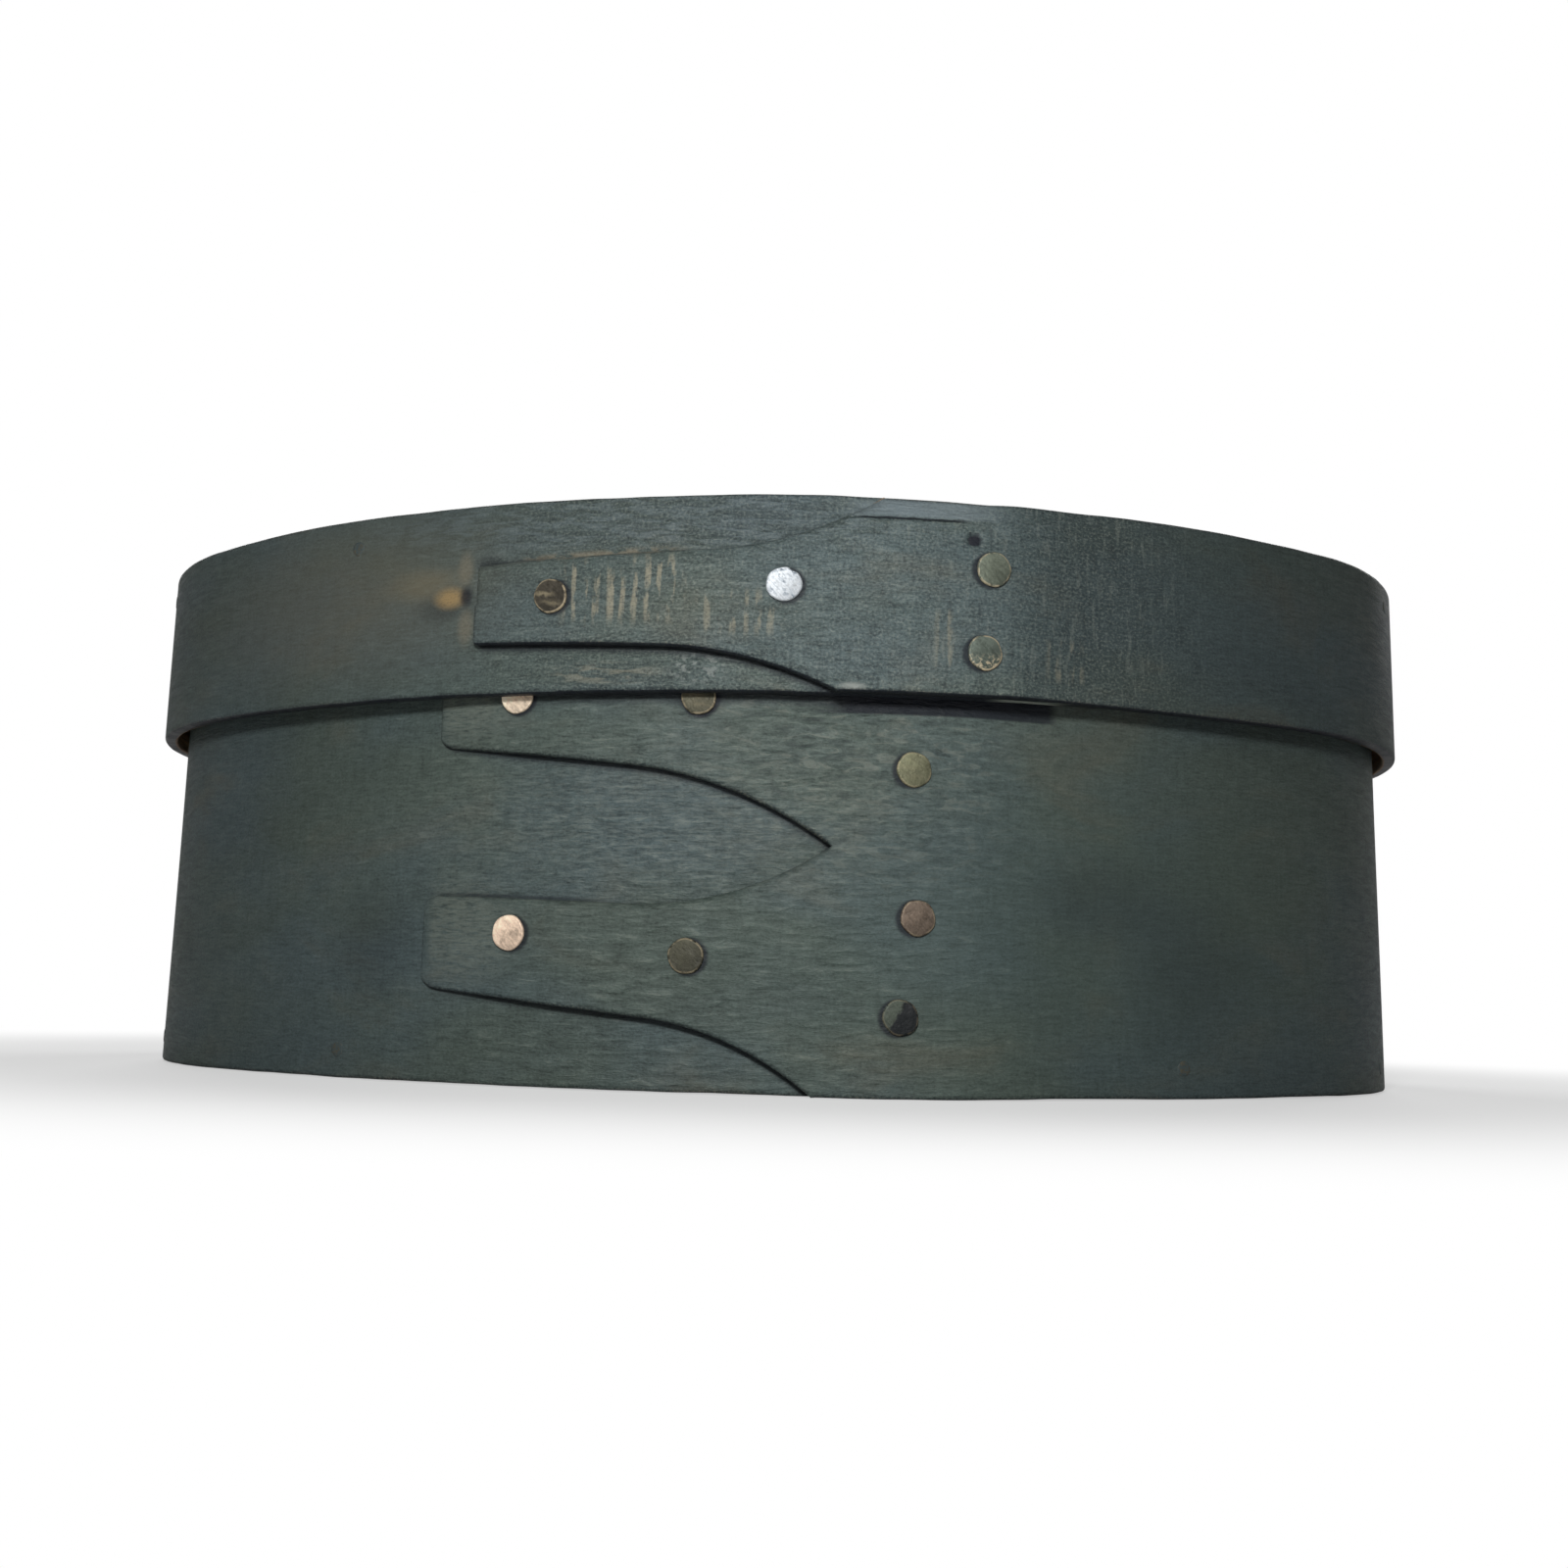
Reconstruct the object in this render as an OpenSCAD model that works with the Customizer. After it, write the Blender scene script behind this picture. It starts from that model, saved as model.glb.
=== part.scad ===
// Oval bentwood box with a lift-off lid.
// Two thin steamed bands are wrapped round pegged pine boards, lapped on the front
// and closed with copper tacks. Each lap ends in cut fingers.
// +X runs along the oval, -Y is the front with the laps, +Z is up.
// The origin is the middle of the body's oval, on its underside.

/* [Body oval] */
// Half the length over the body band
body_half_length = 77; // [70:0.5:88]
// Half the width over the body band, away from the lap
body_half_width = 47; // [43:0.5:53]
// Outside radius of the tight bend at each end
body_end_radius = 33; // [27:0.5:36]
// Height of the body band
body_height = 54; // [50:0.5:62]

/* [Wood] */
// Thickness of one layer of band
band_t = 1.5; // [1:0.1:2]
// Space left between the two layers of a lap
lap_gap = 0.1; // [0.05:0.01:0.2]
// Thickness left at the scarfed inner end of a band
feather_t = 0.3; // [0.2:0.05:0.6]
// Thickness of the bottom board
bottom_t = 6; // [5:0.25:7]
// Thickness of the lid board
lid_board_t = 6; // [5:0.25:8]
// Clearance round a board inside its band
board_fit = 0.03; // [0.02:0.01:0.1]

/* [Lid] */
// Height of the lid band, board included
lid_height = 20.6; // [19:0.1:24]
// Running clearance between the lid band and the body's lap, and at the back
lid_fit = 0.7; // [0.6:0.05:1.2]
// Running clearance at the two ends of the oval
lid_end_fit = 0.7; // [0.5:0.05:1.2]

/* [Laps] */
// Where the body's outer layer starts to come down to the oval, to the right of the middle
body_climb_x = 21.5; // [20:0.5:24]
// How far along the front the body's outer layer comes down
body_climb_run = 16; // [12:0.5:18]
// Where the lid's outer layer starts to come down to the oval
lid_climb_x = 26; // [26:0.5:30]
// How far along the front the lid's outer layer comes down
lid_climb_run = 10; // [8:0.5:12]

/* [Body fingers] */
// Left end of the two fingers, to the left of the middle
body_tip_x = -32.4; // [-35:0.1:-30]
// Height of the lower finger's lower edge where it starts to curve
finger_low = 7.3; // [6.5:0.1:8]
// Depth of the upper finger's upper edge below the top rim, where it starts to curve
finger_high = 10.2; // [9:0.1:11]
// Width of each finger where its edges start to curve
finger_w = 11.25; // [10.5:0.05:12]
// Where the lower finger's lower edge starts to curve
finger_low_x = -8.8; // [-11:0.1:-8]
// Where the upper finger's upper edge starts to curve
finger_high_x = -10; // [-12:0.1:-8]
// Where the edges of the pointed gap start to curve
gap_x = -11; // [-13:0.1:-9]
// Slope of each finger's lower edge, in degrees
finger_low_slope = -6; // [-7:0.5:-3]
// Slope of each finger's upper edge, in degrees
finger_high_slope = -2; // [-3:0.5:0]
// Radius of the long curve below the lower finger
finger_low_r = 29; // [26:1:36]
// Radius of the long curve above the upper finger
finger_high_r = 33; // [30:1:40]
// Radius of the long curve along the bottom of the pointed gap
gap_low_r = 35; // [32:1:40]
// Radius of the long curve along the top of the pointed gap
gap_high_r = 40; // [36:1:46]
// Radius of the corners of a finger's tip
tip_corner_r = 1.6; // [0.8:0.1:2.5]

/* [Lid finger] */
// Left end of the lid's finger
lid_tip_x = -27.6; // [-30:0.1:-25]
// Height of the lid finger's lower edge above the lid's rim, where it starts to curve
lid_finger_low = 4.5; // [4:0.1:5]
// Depth of the lid finger's upper edge below the top, where it starts to curve
lid_finger_high = 6.1; // [5.5:0.1:7]
// Where the lower edge starts to curve
lid_low_x = -8; // [-10:0.1:-6]
// Where the upper edge starts to curve
lid_high_x = -3; // [-5:0.1:-1]
// Slope of the edges, in degrees, opening to the right
lid_finger_slope = 2; // [0:0.5:3]
// Radius of the long lower curve
lid_low_curve_r = 45; // [38:1:50]
// Radius of the long upper curve
lid_high_curve_r = 32; // [28:1:38]

/* [Places of the body's tacks] */
// Tack near the tip of the upper finger: place along the front
upper_tip_tack_x = -23.1; // [-26:0.1:-20]
// Tack near the tip of the upper finger: depth below the finger's upper edge
upper_tip_tack_down = 4.1; // [3:0.1:6]
// Tack at the root of the upper finger: place along the front
upper_root_tack_x = -3.9; // [-7:0.1:-1]
// Tack at the root of the upper finger: depth below the finger's upper edge
upper_root_tack_down = 4.5; // [3:0.1:6]
// Tack near the tip of the lower finger: place along the front
lower_tip_tack_x = -22.8; // [-26:0.1:-20]
// Tack near the tip of the lower finger: height above the finger's lower edge
lower_tip_tack_up = 8.1; // [6:0.1:9]
// Tack at the root of the lower finger: place along the front
lower_root_tack_x = -4.4; // [-7:0.1:-1]
// Tack at the root of the lower finger: height above the finger's lower edge
lower_root_tack_up = 6.1; // [4:0.1:8]
// Top tack of the upright row: place along the front
row_top_tack_x = 17.2; // [14:0.1:20]
// Top tack of the upright row: depth below the top rim
row_top_tack_down = 8.4; // [6:0.1:11]
// Second tack of the row: place along the front
row_high_tack_x = 17.8; // [14:0.1:20]
// Second tack of the row: depth below the top rim
row_high_tack_down = 21.6; // [18:0.1:25]
// Third tack of the row: place along the front
row_low_tack_x = 18.3; // [14:0.1:20]
// Third tack of the row: height above the table
row_low_tack_up = 17.6; // [14:0.1:20]
// Bottom tack of the row: place along the front
row_foot_tack_x = 16.7; // [14:0.1:20]
// Bottom tack of the row: height above the table
row_foot_tack_up = 7.9; // [6.5:0.1:10]

/* [Places of the lid's tacks] */
// Tack near the tip of the finger: place along the front
lid_tip_tack_x = -19; // [-22:0.1:-16]
// Tack near the tip of the finger: height above the lid's rim
lid_tip_tack_up = 9.7; // [7.5:0.1:12]
// Tack at the root of the finger: place along the front
lid_root_tack_x = 4.7; // [2:0.1:8]
// Tack at the root of the finger: height above the lid's rim
lid_root_tack_up = 10.6; // [7.5:0.1:12]
// Upper tack behind the finger: place along the front
lid_high_tack_x = 25.5; // [23:0.1:26]
// Upper tack behind the finger: depth below the lid's top
lid_high_tack_down = 7.6; // [7:0.1:10]
// Lower tack behind the finger: place along the front
lid_low_tack_x = 24.6; // [22:0.1:26]
// Lower tack behind the finger: height above the lid's rim
lid_low_tack_up = 4.4; // [3:0.1:7]

/* [Tacks] */
// Radius of a tack's head
head_r = 1.78; // [1.4:0.01:2]
// Height of a head at its middle
head_h = 0.42; // [0.3:0.01:0.45]
// Radius of the low dome on a head
head_dome_r = 9; // [7:0.5:14]
// Radius of a tack's shank
shank_r = 0.5; // [0.4:0.05:0.6]
// Clearance round a shank in its hole
shank_fit = 0.03; // [0.02:0.01:0.06]
// Length of the point that is turned over on the inside
clinch_l = 2.2; // [1.5:0.1:2.6]
// Thickness of the flattened point
clinch_t = 0.25; // [0.2:0.01:0.3]

/* [Pegs] */
// Radius of a wooden peg
peg_r = 0.8; // [0.6:0.05:1]
// How far a peg reaches into a board
peg_depth = 7; // [5:0.5:10]
// Length of a peg's pointed end
peg_point = 1.4; // [1:0.1:2]
// Clearance round a peg in its hole
peg_fit = 0.03; // [0.02:0.01:0.06]
// How far a peg's end lies below the band's surface
peg_recess = 0.02; // [0.01:0.01:0.1]
// Place along the front of the one peg that goes through both layers of the lid's lap
lap_peg_x = 23.6; // [21:0.1:25]
// Height of that peg above the underside of the lid's board
lap_peg_up = 1.4; // [1.2:0.1:3]

/* [Hidden] */
// How far an end arc stands out past true tangency, so that it crosses the long arcs cleanly
arc_blend = 0.02;
// How far a cutting shape runs past what it cuts
over = 1;
$fn = 360;
tack_fn = 48;
peg_fn = 36;
corner_fn = 64;

// What the second layer of a lap adds to a wall
layer = band_t + lap_gap;

// Radius of the long arcs that joins arcs of radius r at the ends of an oval a by b
function long_radius(a, b, r) = (a * a + b * b - 2 * a * r) / (2 * (b - r));
// Radius of the end arcs of an oval a by b whose long arcs have radius long
function end_radius(a, b, long) = (2 * long * b - b * b - a * a) / (2 * (long - a));

// Body oval, outside: centres of its end arcs and of its long arcs
body_long_r = long_radius(body_half_length, body_half_width, body_end_radius);
body_end_x = body_half_length - body_end_radius;
body_arc_y = body_long_r - body_half_width;

// Lid oval, outside: it shares the centre of the body's front arc and moves forward by
// half a layer, so that the lap in front and the plain back have the same clearance
lid_shift = layer / 2;
lid_half_length = body_half_length + lid_end_fit + band_t;
lid_half_width = body_half_width + lid_shift + lid_fit + band_t;
lid_arc_y = body_arc_y + lid_shift;
lid_long_r = lid_half_width + lid_arc_y;
lid_end_r = end_radius(lid_half_length, lid_half_width, lid_long_r);
lid_end_x = lid_half_length - lid_end_r;

// Heights of the lid above the table
lid_top = body_height + lid_board_t;
lid_rim = lid_top - lid_height;

// Heights of the middles of the boards' edges
bottom_middle = bottom_t / 2;
lid_board_middle = body_height + lid_board_t / 2;

// One oval is [x of the end arcs, y of the long arcs, end radius, y of the oval's middle]
BODY = [body_end_x, body_arc_y, body_end_radius, 0];
LID = [lid_end_x, lid_arc_y, lid_end_r, -lid_shift];

// Radius of the long arcs of an oval that is offset inward by inset
function long_of(o, inset = 0) = o[2] + norm([o[0], o[1]]) - inset;
// Centre of arc number i of an oval: 0 front, 1 right end, 2 back, 3 left end
function arc_centre(o, i) = [[0, o[3] + o[1]], [o[0], o[3]], [0, o[3] - o[1]], [-o[0], o[3]]][i];
// Outside radius of arc number i
function arc_radius(o, i) = i % 2 == 0 ? long_of(o) : o[2];
// Bearing, from the front, of a place seen at x on the front arc, proud of it by proud
function bearing_at(o, x, proud = 0) = asin(x / (long_of(o) + proud));

// Heights of the edges of the fingers where they start to curve
finger_top = body_height - finger_high;
gap_low = finger_low + finger_w;
gap_high = finger_top - finger_w;

// Tacks as [x, height, direction of the turned point in degrees from straight up]: two in
// the upper finger, two in the lower one, and an upright row behind both
body_tack_at = [
    [upper_tip_tack_x, finger_top - upper_tip_tack_down, 8],
    [upper_root_tack_x, finger_top - upper_root_tack_down, 24],
    [lower_tip_tack_x, finger_low + lower_tip_tack_up, 352],
    [lower_root_tack_x, finger_low + lower_root_tack_up, 200],
    [row_top_tack_x, body_height - row_top_tack_down, 168],
    [row_high_tack_x, body_height - row_high_tack_down, 12],
    [row_low_tack_x, row_low_tack_up, 190],
    [row_foot_tack_x, row_foot_tack_up, 352]
];
// Two tacks along the lid's finger and two behind it
lid_tack_at = [
    [lid_tip_tack_x, lid_rim + lid_tip_tack_up, 12],
    [lid_root_tack_x, lid_rim + lid_root_tack_up, 350],
    [lid_high_tack_x, lid_top - lid_high_tack_down, 180],
    [lid_low_tack_x, lid_rim + lid_low_tack_up, 8]
];

// Pegs as [arc, bearing from the front, height above the middle of the board's edge, layers of
// band outside the oval]. They are driven by eye, so none is quite level with the next
bottom_pegs = [
    [0, -23, 0, 0], [0, 25, 0.2, 0], [1, 62, -0.1, 0], [1, 118, 0.1, 0],
    [2, 166, 0, 0], [2, 195, -0.2, 0], [3, 241, 0.1, 0], [3, 298, 0, 0]
];
lid_pegs = [
    [0, -22, -0.4, 0], [0, bearing_at(LID, lap_peg_x, layer), lap_peg_up - lid_board_t / 2, 1],
    [1, 60, 0.1, 0], [1, 121, -0.3, 0],
    [2, 165, 0, 0], [2, 196, -0.2, 0], [3, 239, 0.2, 0], [3, 300, -0.1, 0]
];

PAINT = [0.29, 0.35, 0.34];
PINE = [0.72, 0.58, 0.4];
COPPER = [0.62, 0.52, 0.44];
PEG = [0.5, 0.4, 0.28];

// A four-arc oval, offset inward by inset
module oval(o, inset = 0) {
    long = long_of(o, inset);
    end = o[2] - inset;
    meet_x = long * o[0] / norm([o[0], o[1]]);
    translate([0, o[3]]) {
        for (side = [-1, 1]) translate([side * o[0], 0]) circle(end + arc_blend);
        intersection() {
            translate([0, o[1]]) circle(long);
            translate([0, -o[1]]) circle(long);
            square([2 * meet_x, 2 * long], center = true);
        }
    }
}

// A disc about the centre of an oval's front arc
module front_disc(o, r) {
    translate(arc_centre(o, 0)) circle(r);
}

// A disc off that centre, whose edge comes down by one layer between bearings a0 and a1
// and passes through radius mid halfway
module climb_disc(o, mid, a0, a1) {
    shift = layer / (2 * sin((a1 - a0) / 2));
    turn = (a0 + a1) / 2;
    translate(arc_centre(o, 0) + shift * [-cos(turn), -sin(turn)]) circle(norm([mid, shift]));
}

// The front of an oval from x0 to x1, as a plan of the space that holds a lap
module front_field(o, x0, x1) {
    depth = 2 * long_of(o);
    translate([x0, -depth]) square([x1 - x0, depth]);
}

// Plan of a band: one strip that goes once round the oval and on over its own scarfed start
module band_plan(o, tip_x, climb_x, climb_run) {
    outer = long_of(o);
    inner = outer - band_t;
    a0 = bearing_at(o, climb_x);
    a1 = bearing_at(o, climb_x + climb_run);
    scarf_end = a0 + (a1 - a0) * (band_t - feather_t) / layer;
    difference() {
        union() {
            oval(o);
            intersection() {
                front_field(o, tip_x - over, climb_x + climb_run + over);
                front_disc(o, outer + layer);
                climb_disc(o, outer + layer / 2, a0, a1);
            }
        }
        oval(o, band_t);
        difference() {
            intersection() {
                front_field(o, tip_x - 2 * over, climb_x + climb_run + over);
                front_disc(o, outer + lap_gap);
                climb_disc(o, inner + layer / 2, a0, a1);
            }
            intersection() {
                front_disc(o, outer);
                climb_disc(o, inner + layer / 2 - lap_gap, a0, a1);
                translate(arc_centre(o, 0)) rotate(scarf_end)
                    translate([-2 * outer, -2 * outer]) square([2 * outer, 4 * outer]);
            }
        }
    }
}

// Waste below one edge of a finger, drawn as seen from the front. The edge runs
// straight up to [x, z] at a slope and then bends down to the right with radius r
module waste_below(x, z, slope, r) {
    translate([x, z]) rotate(slope) {
        translate([0, -r]) circle(r + arc_blend);
        translate([-3 * r, -2 * r]) square([3 * r, 2 * r]);
    }
}

// The same above an edge that bends up to the right
module waste_above(x, z, slope, r) {
    translate([x, z]) mirror([0, 1]) rotate(-slope) {
        translate([0, -r]) circle(r + arc_blend);
        translate([-3 * r, -2 * r]) square([3 * r, 2 * r]);
    }
}

// Height at x of the straight part of an edge that starts to curve at [x0, z0]
function edge_z(x, x0, z0, slope) = z0 + (x - x0) * tan(slope);

// Waste that rounds a lower corner of a finger's tip
module waste_corner(x, z, slope) {
    translate([x, z]) rotate(slope) difference() {
        translate([-over, -over]) square(over + tip_corner_r);
        translate([tip_corner_r, tip_corner_r]) circle(tip_corner_r + arc_blend, $fn = corner_fn);
    }
}

// Waste all round the tip of a finger whose edges start to curve at low and high = [x, z]
module waste_tip(tip_x, low, low_slope, high, high_slope) {
    waste_corner(tip_x, edge_z(tip_x, low[0], low[1], low_slope), low_slope);
    translate([0, edge_z(tip_x, high[0], high[1], high_slope)]) mirror([0, 1])
        waste_corner(tip_x, 0, -high_slope);
}

// Cuts an outline, drawn as seen from the front, into the outer layer of a lap only
module cut_outer_layer(o, x0, x1, z0, z1) {
    outer = long_of(o);
    intersection() {
        translate([0, 0, z0 - over]) linear_extrude(z1 - z0 + 2 * over) intersection() {
            front_field(o, x0, x1);
            difference() {
                front_disc(o, outer + layer + over);
                front_disc(o, outer + lap_gap / 2);
            }
        }
        rotate([90, 0, 0]) linear_extrude(2 * outer) children();
    }
}

// Places a piece on arc i of an oval: its own -Y points straight out of the wall
module on_wall(o, i, bearing, z, proud = 0) {
    translate(concat(arc_centre(o, i), [z])) rotate([0, 0, bearing])
        translate([0, -arc_radius(o, i) - proud, 0]) children();
}

// Places a piece on the outer layer of the front lap, at the place seen at x
module on_lap(o, x, z) {
    on_wall(o, 0, bearing_at(o, x, layer), z, layer) children();
}

// A hole through both layers for a tack's shank
module tack_hole() {
    rotate([-90, 0, 0]) translate([0, 0, -over])
        cylinder(r = shank_r + shank_fit, h = band_t + layer + 2 * over, $fn = tack_fn);
}

// A tack: low domed head, shank, and a point flattened against the inside of the wall
module tack(turn) {
    inside = band_t + layer + shank_fit;
    rotate([-90, 0, 0]) {
        cylinder(r = shank_r, h = inside + clinch_t, $fn = tack_fn);
        intersection() {
            translate([0, 0, -head_h]) cylinder(r = head_r, h = head_h, $fn = tack_fn);
            translate([0, 0, head_dome_r - head_h]) sphere(head_dome_r, $fn = 4 * tack_fn);
        }
    }
    translate([0, inside + clinch_t, 0]) rotate([90, 0, 0]) linear_extrude(clinch_t)
        rotate(turn) {
            circle(1.2 * shank_r, $fn = tack_fn);
            polygon([
                [-1.1 * shank_r, 0], [1.1 * shank_r, 0],
                [0.25 * shank_r, clinch_l], [-0.25 * shank_r, clinch_l]
            ]);
        }
}

// A wooden peg through the band and into a board, or with fit its hole
module peg(layers, fit = 0) {
    start = fit > 0 ? -over : peg_recess;
    reach = band_t + layers * layer + peg_depth + fit;
    rotate([-90, 0, 0]) {
        translate([0, 0, start])
            cylinder(r = peg_r + fit, h = reach - peg_point - start, $fn = peg_fn);
        translate([0, 0, reach - peg_point])
            cylinder(r1 = peg_r + fit, r2 = peg_r / 4 + fit, h = peg_point, $fn = peg_fn);
    }
}

// Puts peg p on its oval, where the middle of the board's edge is at height z
module place_peg(o, p, z) {
    on_wall(o, p[0], p[1], z + p[2], p[3] * layer) children();
}

module bottom_peg_holes() {
    for (p = bottom_pegs) place_peg(BODY, p, bottom_middle) peg(p[3], peg_fit);
}

module lid_peg_holes() {
    for (p = lid_pegs) place_peg(LID, p, lid_board_middle) peg(p[3], peg_fit);
}

// The body's outer layer is cut to two fingers with a pointed gap between them
module body_finger_waste() {
    waste_below(finger_low_x, finger_low, finger_low_slope, finger_low_r);
    waste_above(finger_high_x, finger_top, finger_high_slope, finger_high_r);
    intersection() {
        waste_below(gap_x, gap_high, finger_low_slope, gap_high_r);
        waste_above(gap_x, gap_low, finger_high_slope, gap_low_r);
    }
    waste_tip(body_tip_x, [finger_low_x, finger_low], finger_low_slope,
        [gap_x, gap_low], finger_high_slope);
    waste_tip(body_tip_x, [gap_x, gap_high], finger_low_slope,
        [finger_high_x, finger_top], finger_high_slope);
    translate([body_tip_x - body_height, -over]) square([body_height, body_height + 2 * over]);
}

// The lid's outer layer is cut to one finger
module lid_finger_waste() {
    low = [lid_low_x, lid_rim + lid_finger_low];
    high = [lid_high_x, lid_top - lid_finger_high];
    waste_below(low[0], low[1], -lid_finger_slope, lid_low_curve_r);
    waste_above(high[0], high[1], lid_finger_slope, lid_high_curve_r);
    waste_tip(lid_tip_x, low, -lid_finger_slope, high, lid_finger_slope);
    translate([lid_tip_x - lid_top, lid_rim - over]) square([lid_top, lid_height + 2 * over]);
}

module body_band() {
    color(PAINT) difference() {
        linear_extrude(body_height) band_plan(BODY, body_tip_x, body_climb_x, body_climb_run);
        cut_outer_layer(BODY, body_tip_x - 3 * over, body_climb_x, 0, body_height) body_finger_waste();
        for (t = body_tack_at) on_lap(BODY, t[0], t[1]) tack_hole();
        bottom_peg_holes();
    }
}

module bottom_board() {
    color(PINE) difference() {
        linear_extrude(bottom_t) oval(BODY, band_t + board_fit);
        bottom_peg_holes();
    }
}

module lid_band() {
    color(PAINT) difference() {
        translate([0, 0, lid_rim]) linear_extrude(lid_height)
            band_plan(LID, lid_tip_x, lid_climb_x, lid_climb_run);
        cut_outer_layer(LID, lid_tip_x - 3 * over, lid_climb_x, lid_rim, lid_top) lid_finger_waste();
        for (t = lid_tack_at) on_lap(LID, t[0], t[1]) tack_hole();
        lid_peg_holes();
    }
}

module lid_board() {
    color(PAINT) difference() {
        translate([0, 0, body_height]) linear_extrude(lid_board_t) oval(LID, band_t + board_fit);
        lid_peg_holes();
    }
}

module body_tack(i) {
    t = body_tack_at[i - 1];
    color(COPPER) on_lap(BODY, t[0], t[1]) tack(t[2]);
}

module lid_tack(i) {
    t = lid_tack_at[i - 1];
    color(COPPER) on_lap(LID, t[0], t[1]) tack(t[2]);
}

module bottom_peg(i) {
    p = bottom_pegs[i - 1];
    color(PEG) place_peg(BODY, p, bottom_middle) peg(p[3]);
}

module lid_peg(i) {
    p = lid_pegs[i - 1];
    color(PEG) place_peg(LID, p, lid_board_middle) peg(p[3]);
}

body_band();
bottom_board();
lid_band();
lid_board();
for (i = [1:len(body_tack_at)]) body_tack(i);
for (i = [1:len(lid_tack_at)]) lid_tack(i);
for (i = [1:len(bottom_pegs)]) bottom_peg(i);
for (i = [1:len(lid_pegs)]) lid_peg(i);
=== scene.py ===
"""Looks of an oval bentwood box: worn blue-green paint, wrapped bands with cut fingers, tacks and pegs.

Blender's lengths are metres. The numbers in this script are millimetres, as on the real box, and are
multiplied by MM where a mesh is made. -Y is the front, +X the right and +Z is up.
"""
import random
from math import asin, atan2, cos, degrees, hypot, pi, radians, sin, sqrt, tan

import bmesh
import bpy
import numpy as np
from mathutils import Matrix, Vector, noise


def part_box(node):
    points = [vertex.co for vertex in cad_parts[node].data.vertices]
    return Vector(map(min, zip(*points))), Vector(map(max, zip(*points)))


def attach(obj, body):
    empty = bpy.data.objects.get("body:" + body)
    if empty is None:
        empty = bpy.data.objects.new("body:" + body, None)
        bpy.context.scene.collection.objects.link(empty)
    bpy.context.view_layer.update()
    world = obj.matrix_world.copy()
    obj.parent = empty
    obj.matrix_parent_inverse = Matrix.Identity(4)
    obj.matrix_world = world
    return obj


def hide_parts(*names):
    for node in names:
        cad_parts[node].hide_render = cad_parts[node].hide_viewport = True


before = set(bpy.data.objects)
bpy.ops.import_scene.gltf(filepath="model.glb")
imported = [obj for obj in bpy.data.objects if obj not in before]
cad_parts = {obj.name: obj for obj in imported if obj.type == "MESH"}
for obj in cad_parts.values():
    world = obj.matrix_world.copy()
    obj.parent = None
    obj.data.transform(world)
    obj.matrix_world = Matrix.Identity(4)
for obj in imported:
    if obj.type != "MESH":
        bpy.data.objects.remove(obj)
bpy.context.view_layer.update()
MM = 0.001


def add_object(name, data):
    """A new object in the scene, with this mesh, camera or lamp."""
    made = bpy.data.objects.new(name, data)
    bpy.context.collection.objects.link(made)
    return made


def height_of(node):
    """Lowest and highest Z of a CAD node, in millimetres."""
    low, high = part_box(node)
    return low[2] / MM, high[2] / MM


# -------- sizes of the box
BODY_LOW, BODY_HIGH = height_of("body_band")
LID_LOW, LID_HIGH = height_of("lid_band")
BOTTOM_LOW, BOTTOM_HIGH = height_of("bottom_board")
BOARD_LOW, BOARD_HIGH = height_of("lid_board")

BODY_HALF_LENGTH = 77
BODY_HALF_WIDTH = 47
BODY_END_R = 33
BAND_T = 1.5
LAP_GAP = 0.1
FEATHER_T = 0.3
LID_FIT = 0.7
LAYER = BAND_T + LAP_GAP
BOARD_GAP = 0.06

HEAD_R = 1.78
HEAD_H = 0.42
SHANK_R = 0.5
PEG_R = 0.8
PEG_DEPTH = 7
PEG_POINT = 1.4


class Tack:
    """A tack's place on the front, and how its head looks.

    turned is which way its point is bent inside, in degrees from upright, and tilt_to which way its head
    rises. The tone is the colour of its face. metal is how much of it is bare metal, rim how much of its
    edge is rubbed bright, streaks how much of it is rubbed in lines, and patina how much of its
    lower right side is made black, a painted dark reflection. A nick is a cut in its outline, and comes with
    scratches.
    """

    def __init__(self, x, z, turned, tone, metal=0.3, rim=0.0, streaks=0.0, patina=0.0,
                 tilt=0.0, tilt_to=0.0, nick=0.0):
        self.x, self.z, self.turned = x, z, radians(turned)
        self.tone, self.metal, self.rim, self.streaks, self.patina = tone, metal, rim, streaks, patina
        self.tilt, self.tilt_to, self.nick = tilt, radians(tilt_to), nick


BODY_TACKS = [
    Tack(-23.1, 39.7, 8, (255, 234, 208), metal=0.5, rim=0.2),
    Tack(-3.9, 39.3, 24, (80, 78, 64), rim=0.6, streaks=0.4, tilt=0.03, tilt_to=300),
    Tack(-22.8, 15.4, 352, (234, 208, 184), metal=0.4),
    Tack(-4.4, 13.4, 200, (64, 63, 52), rim=0.5, tilt=0.05, tilt_to=250),
    Tack(17.2, 45.6, 168, (98, 98, 80), rim=0.4),
    Tack(17.8, 32.4, 12, (104, 104, 82), rim=0.4, streaks=0.2, tilt=0.03, tilt_to=100),
    Tack(18.3, 17.6, 190, (98, 86, 75), rim=0.4),
    Tack(16.7, 7.9, 352, (62, 68, 60), rim=0.2, patina=1.0, tilt=0.11, tilt_to=330),
]
LID_TACKS = [
    Tack(-19.0, 49.1, 12, (62, 58, 50), rim=0.8, streaks=1.0),
    Tack(4.7, 50.0, 350, (204, 209, 213), metal=0.1, tilt=0.03, tilt_to=200, nick=1.0),
    Tack(25.5, 52.4, 180, (94, 100, 88), rim=0.7, tilt=0.02, tilt_to=0),
    Tack(24.6, 43.8, 8, (84, 92, 84), rim=1.0),
]


class Peg:
    """A peg's place: bearing, height in its board, layers of lap over the oval there, and how far it sank."""

    def __init__(self, bearing, height, layers=0, sunk=0.0):
        self.bearing, self.height, self.layers, self.sunk = bearing, height, layers, sunk


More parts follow.
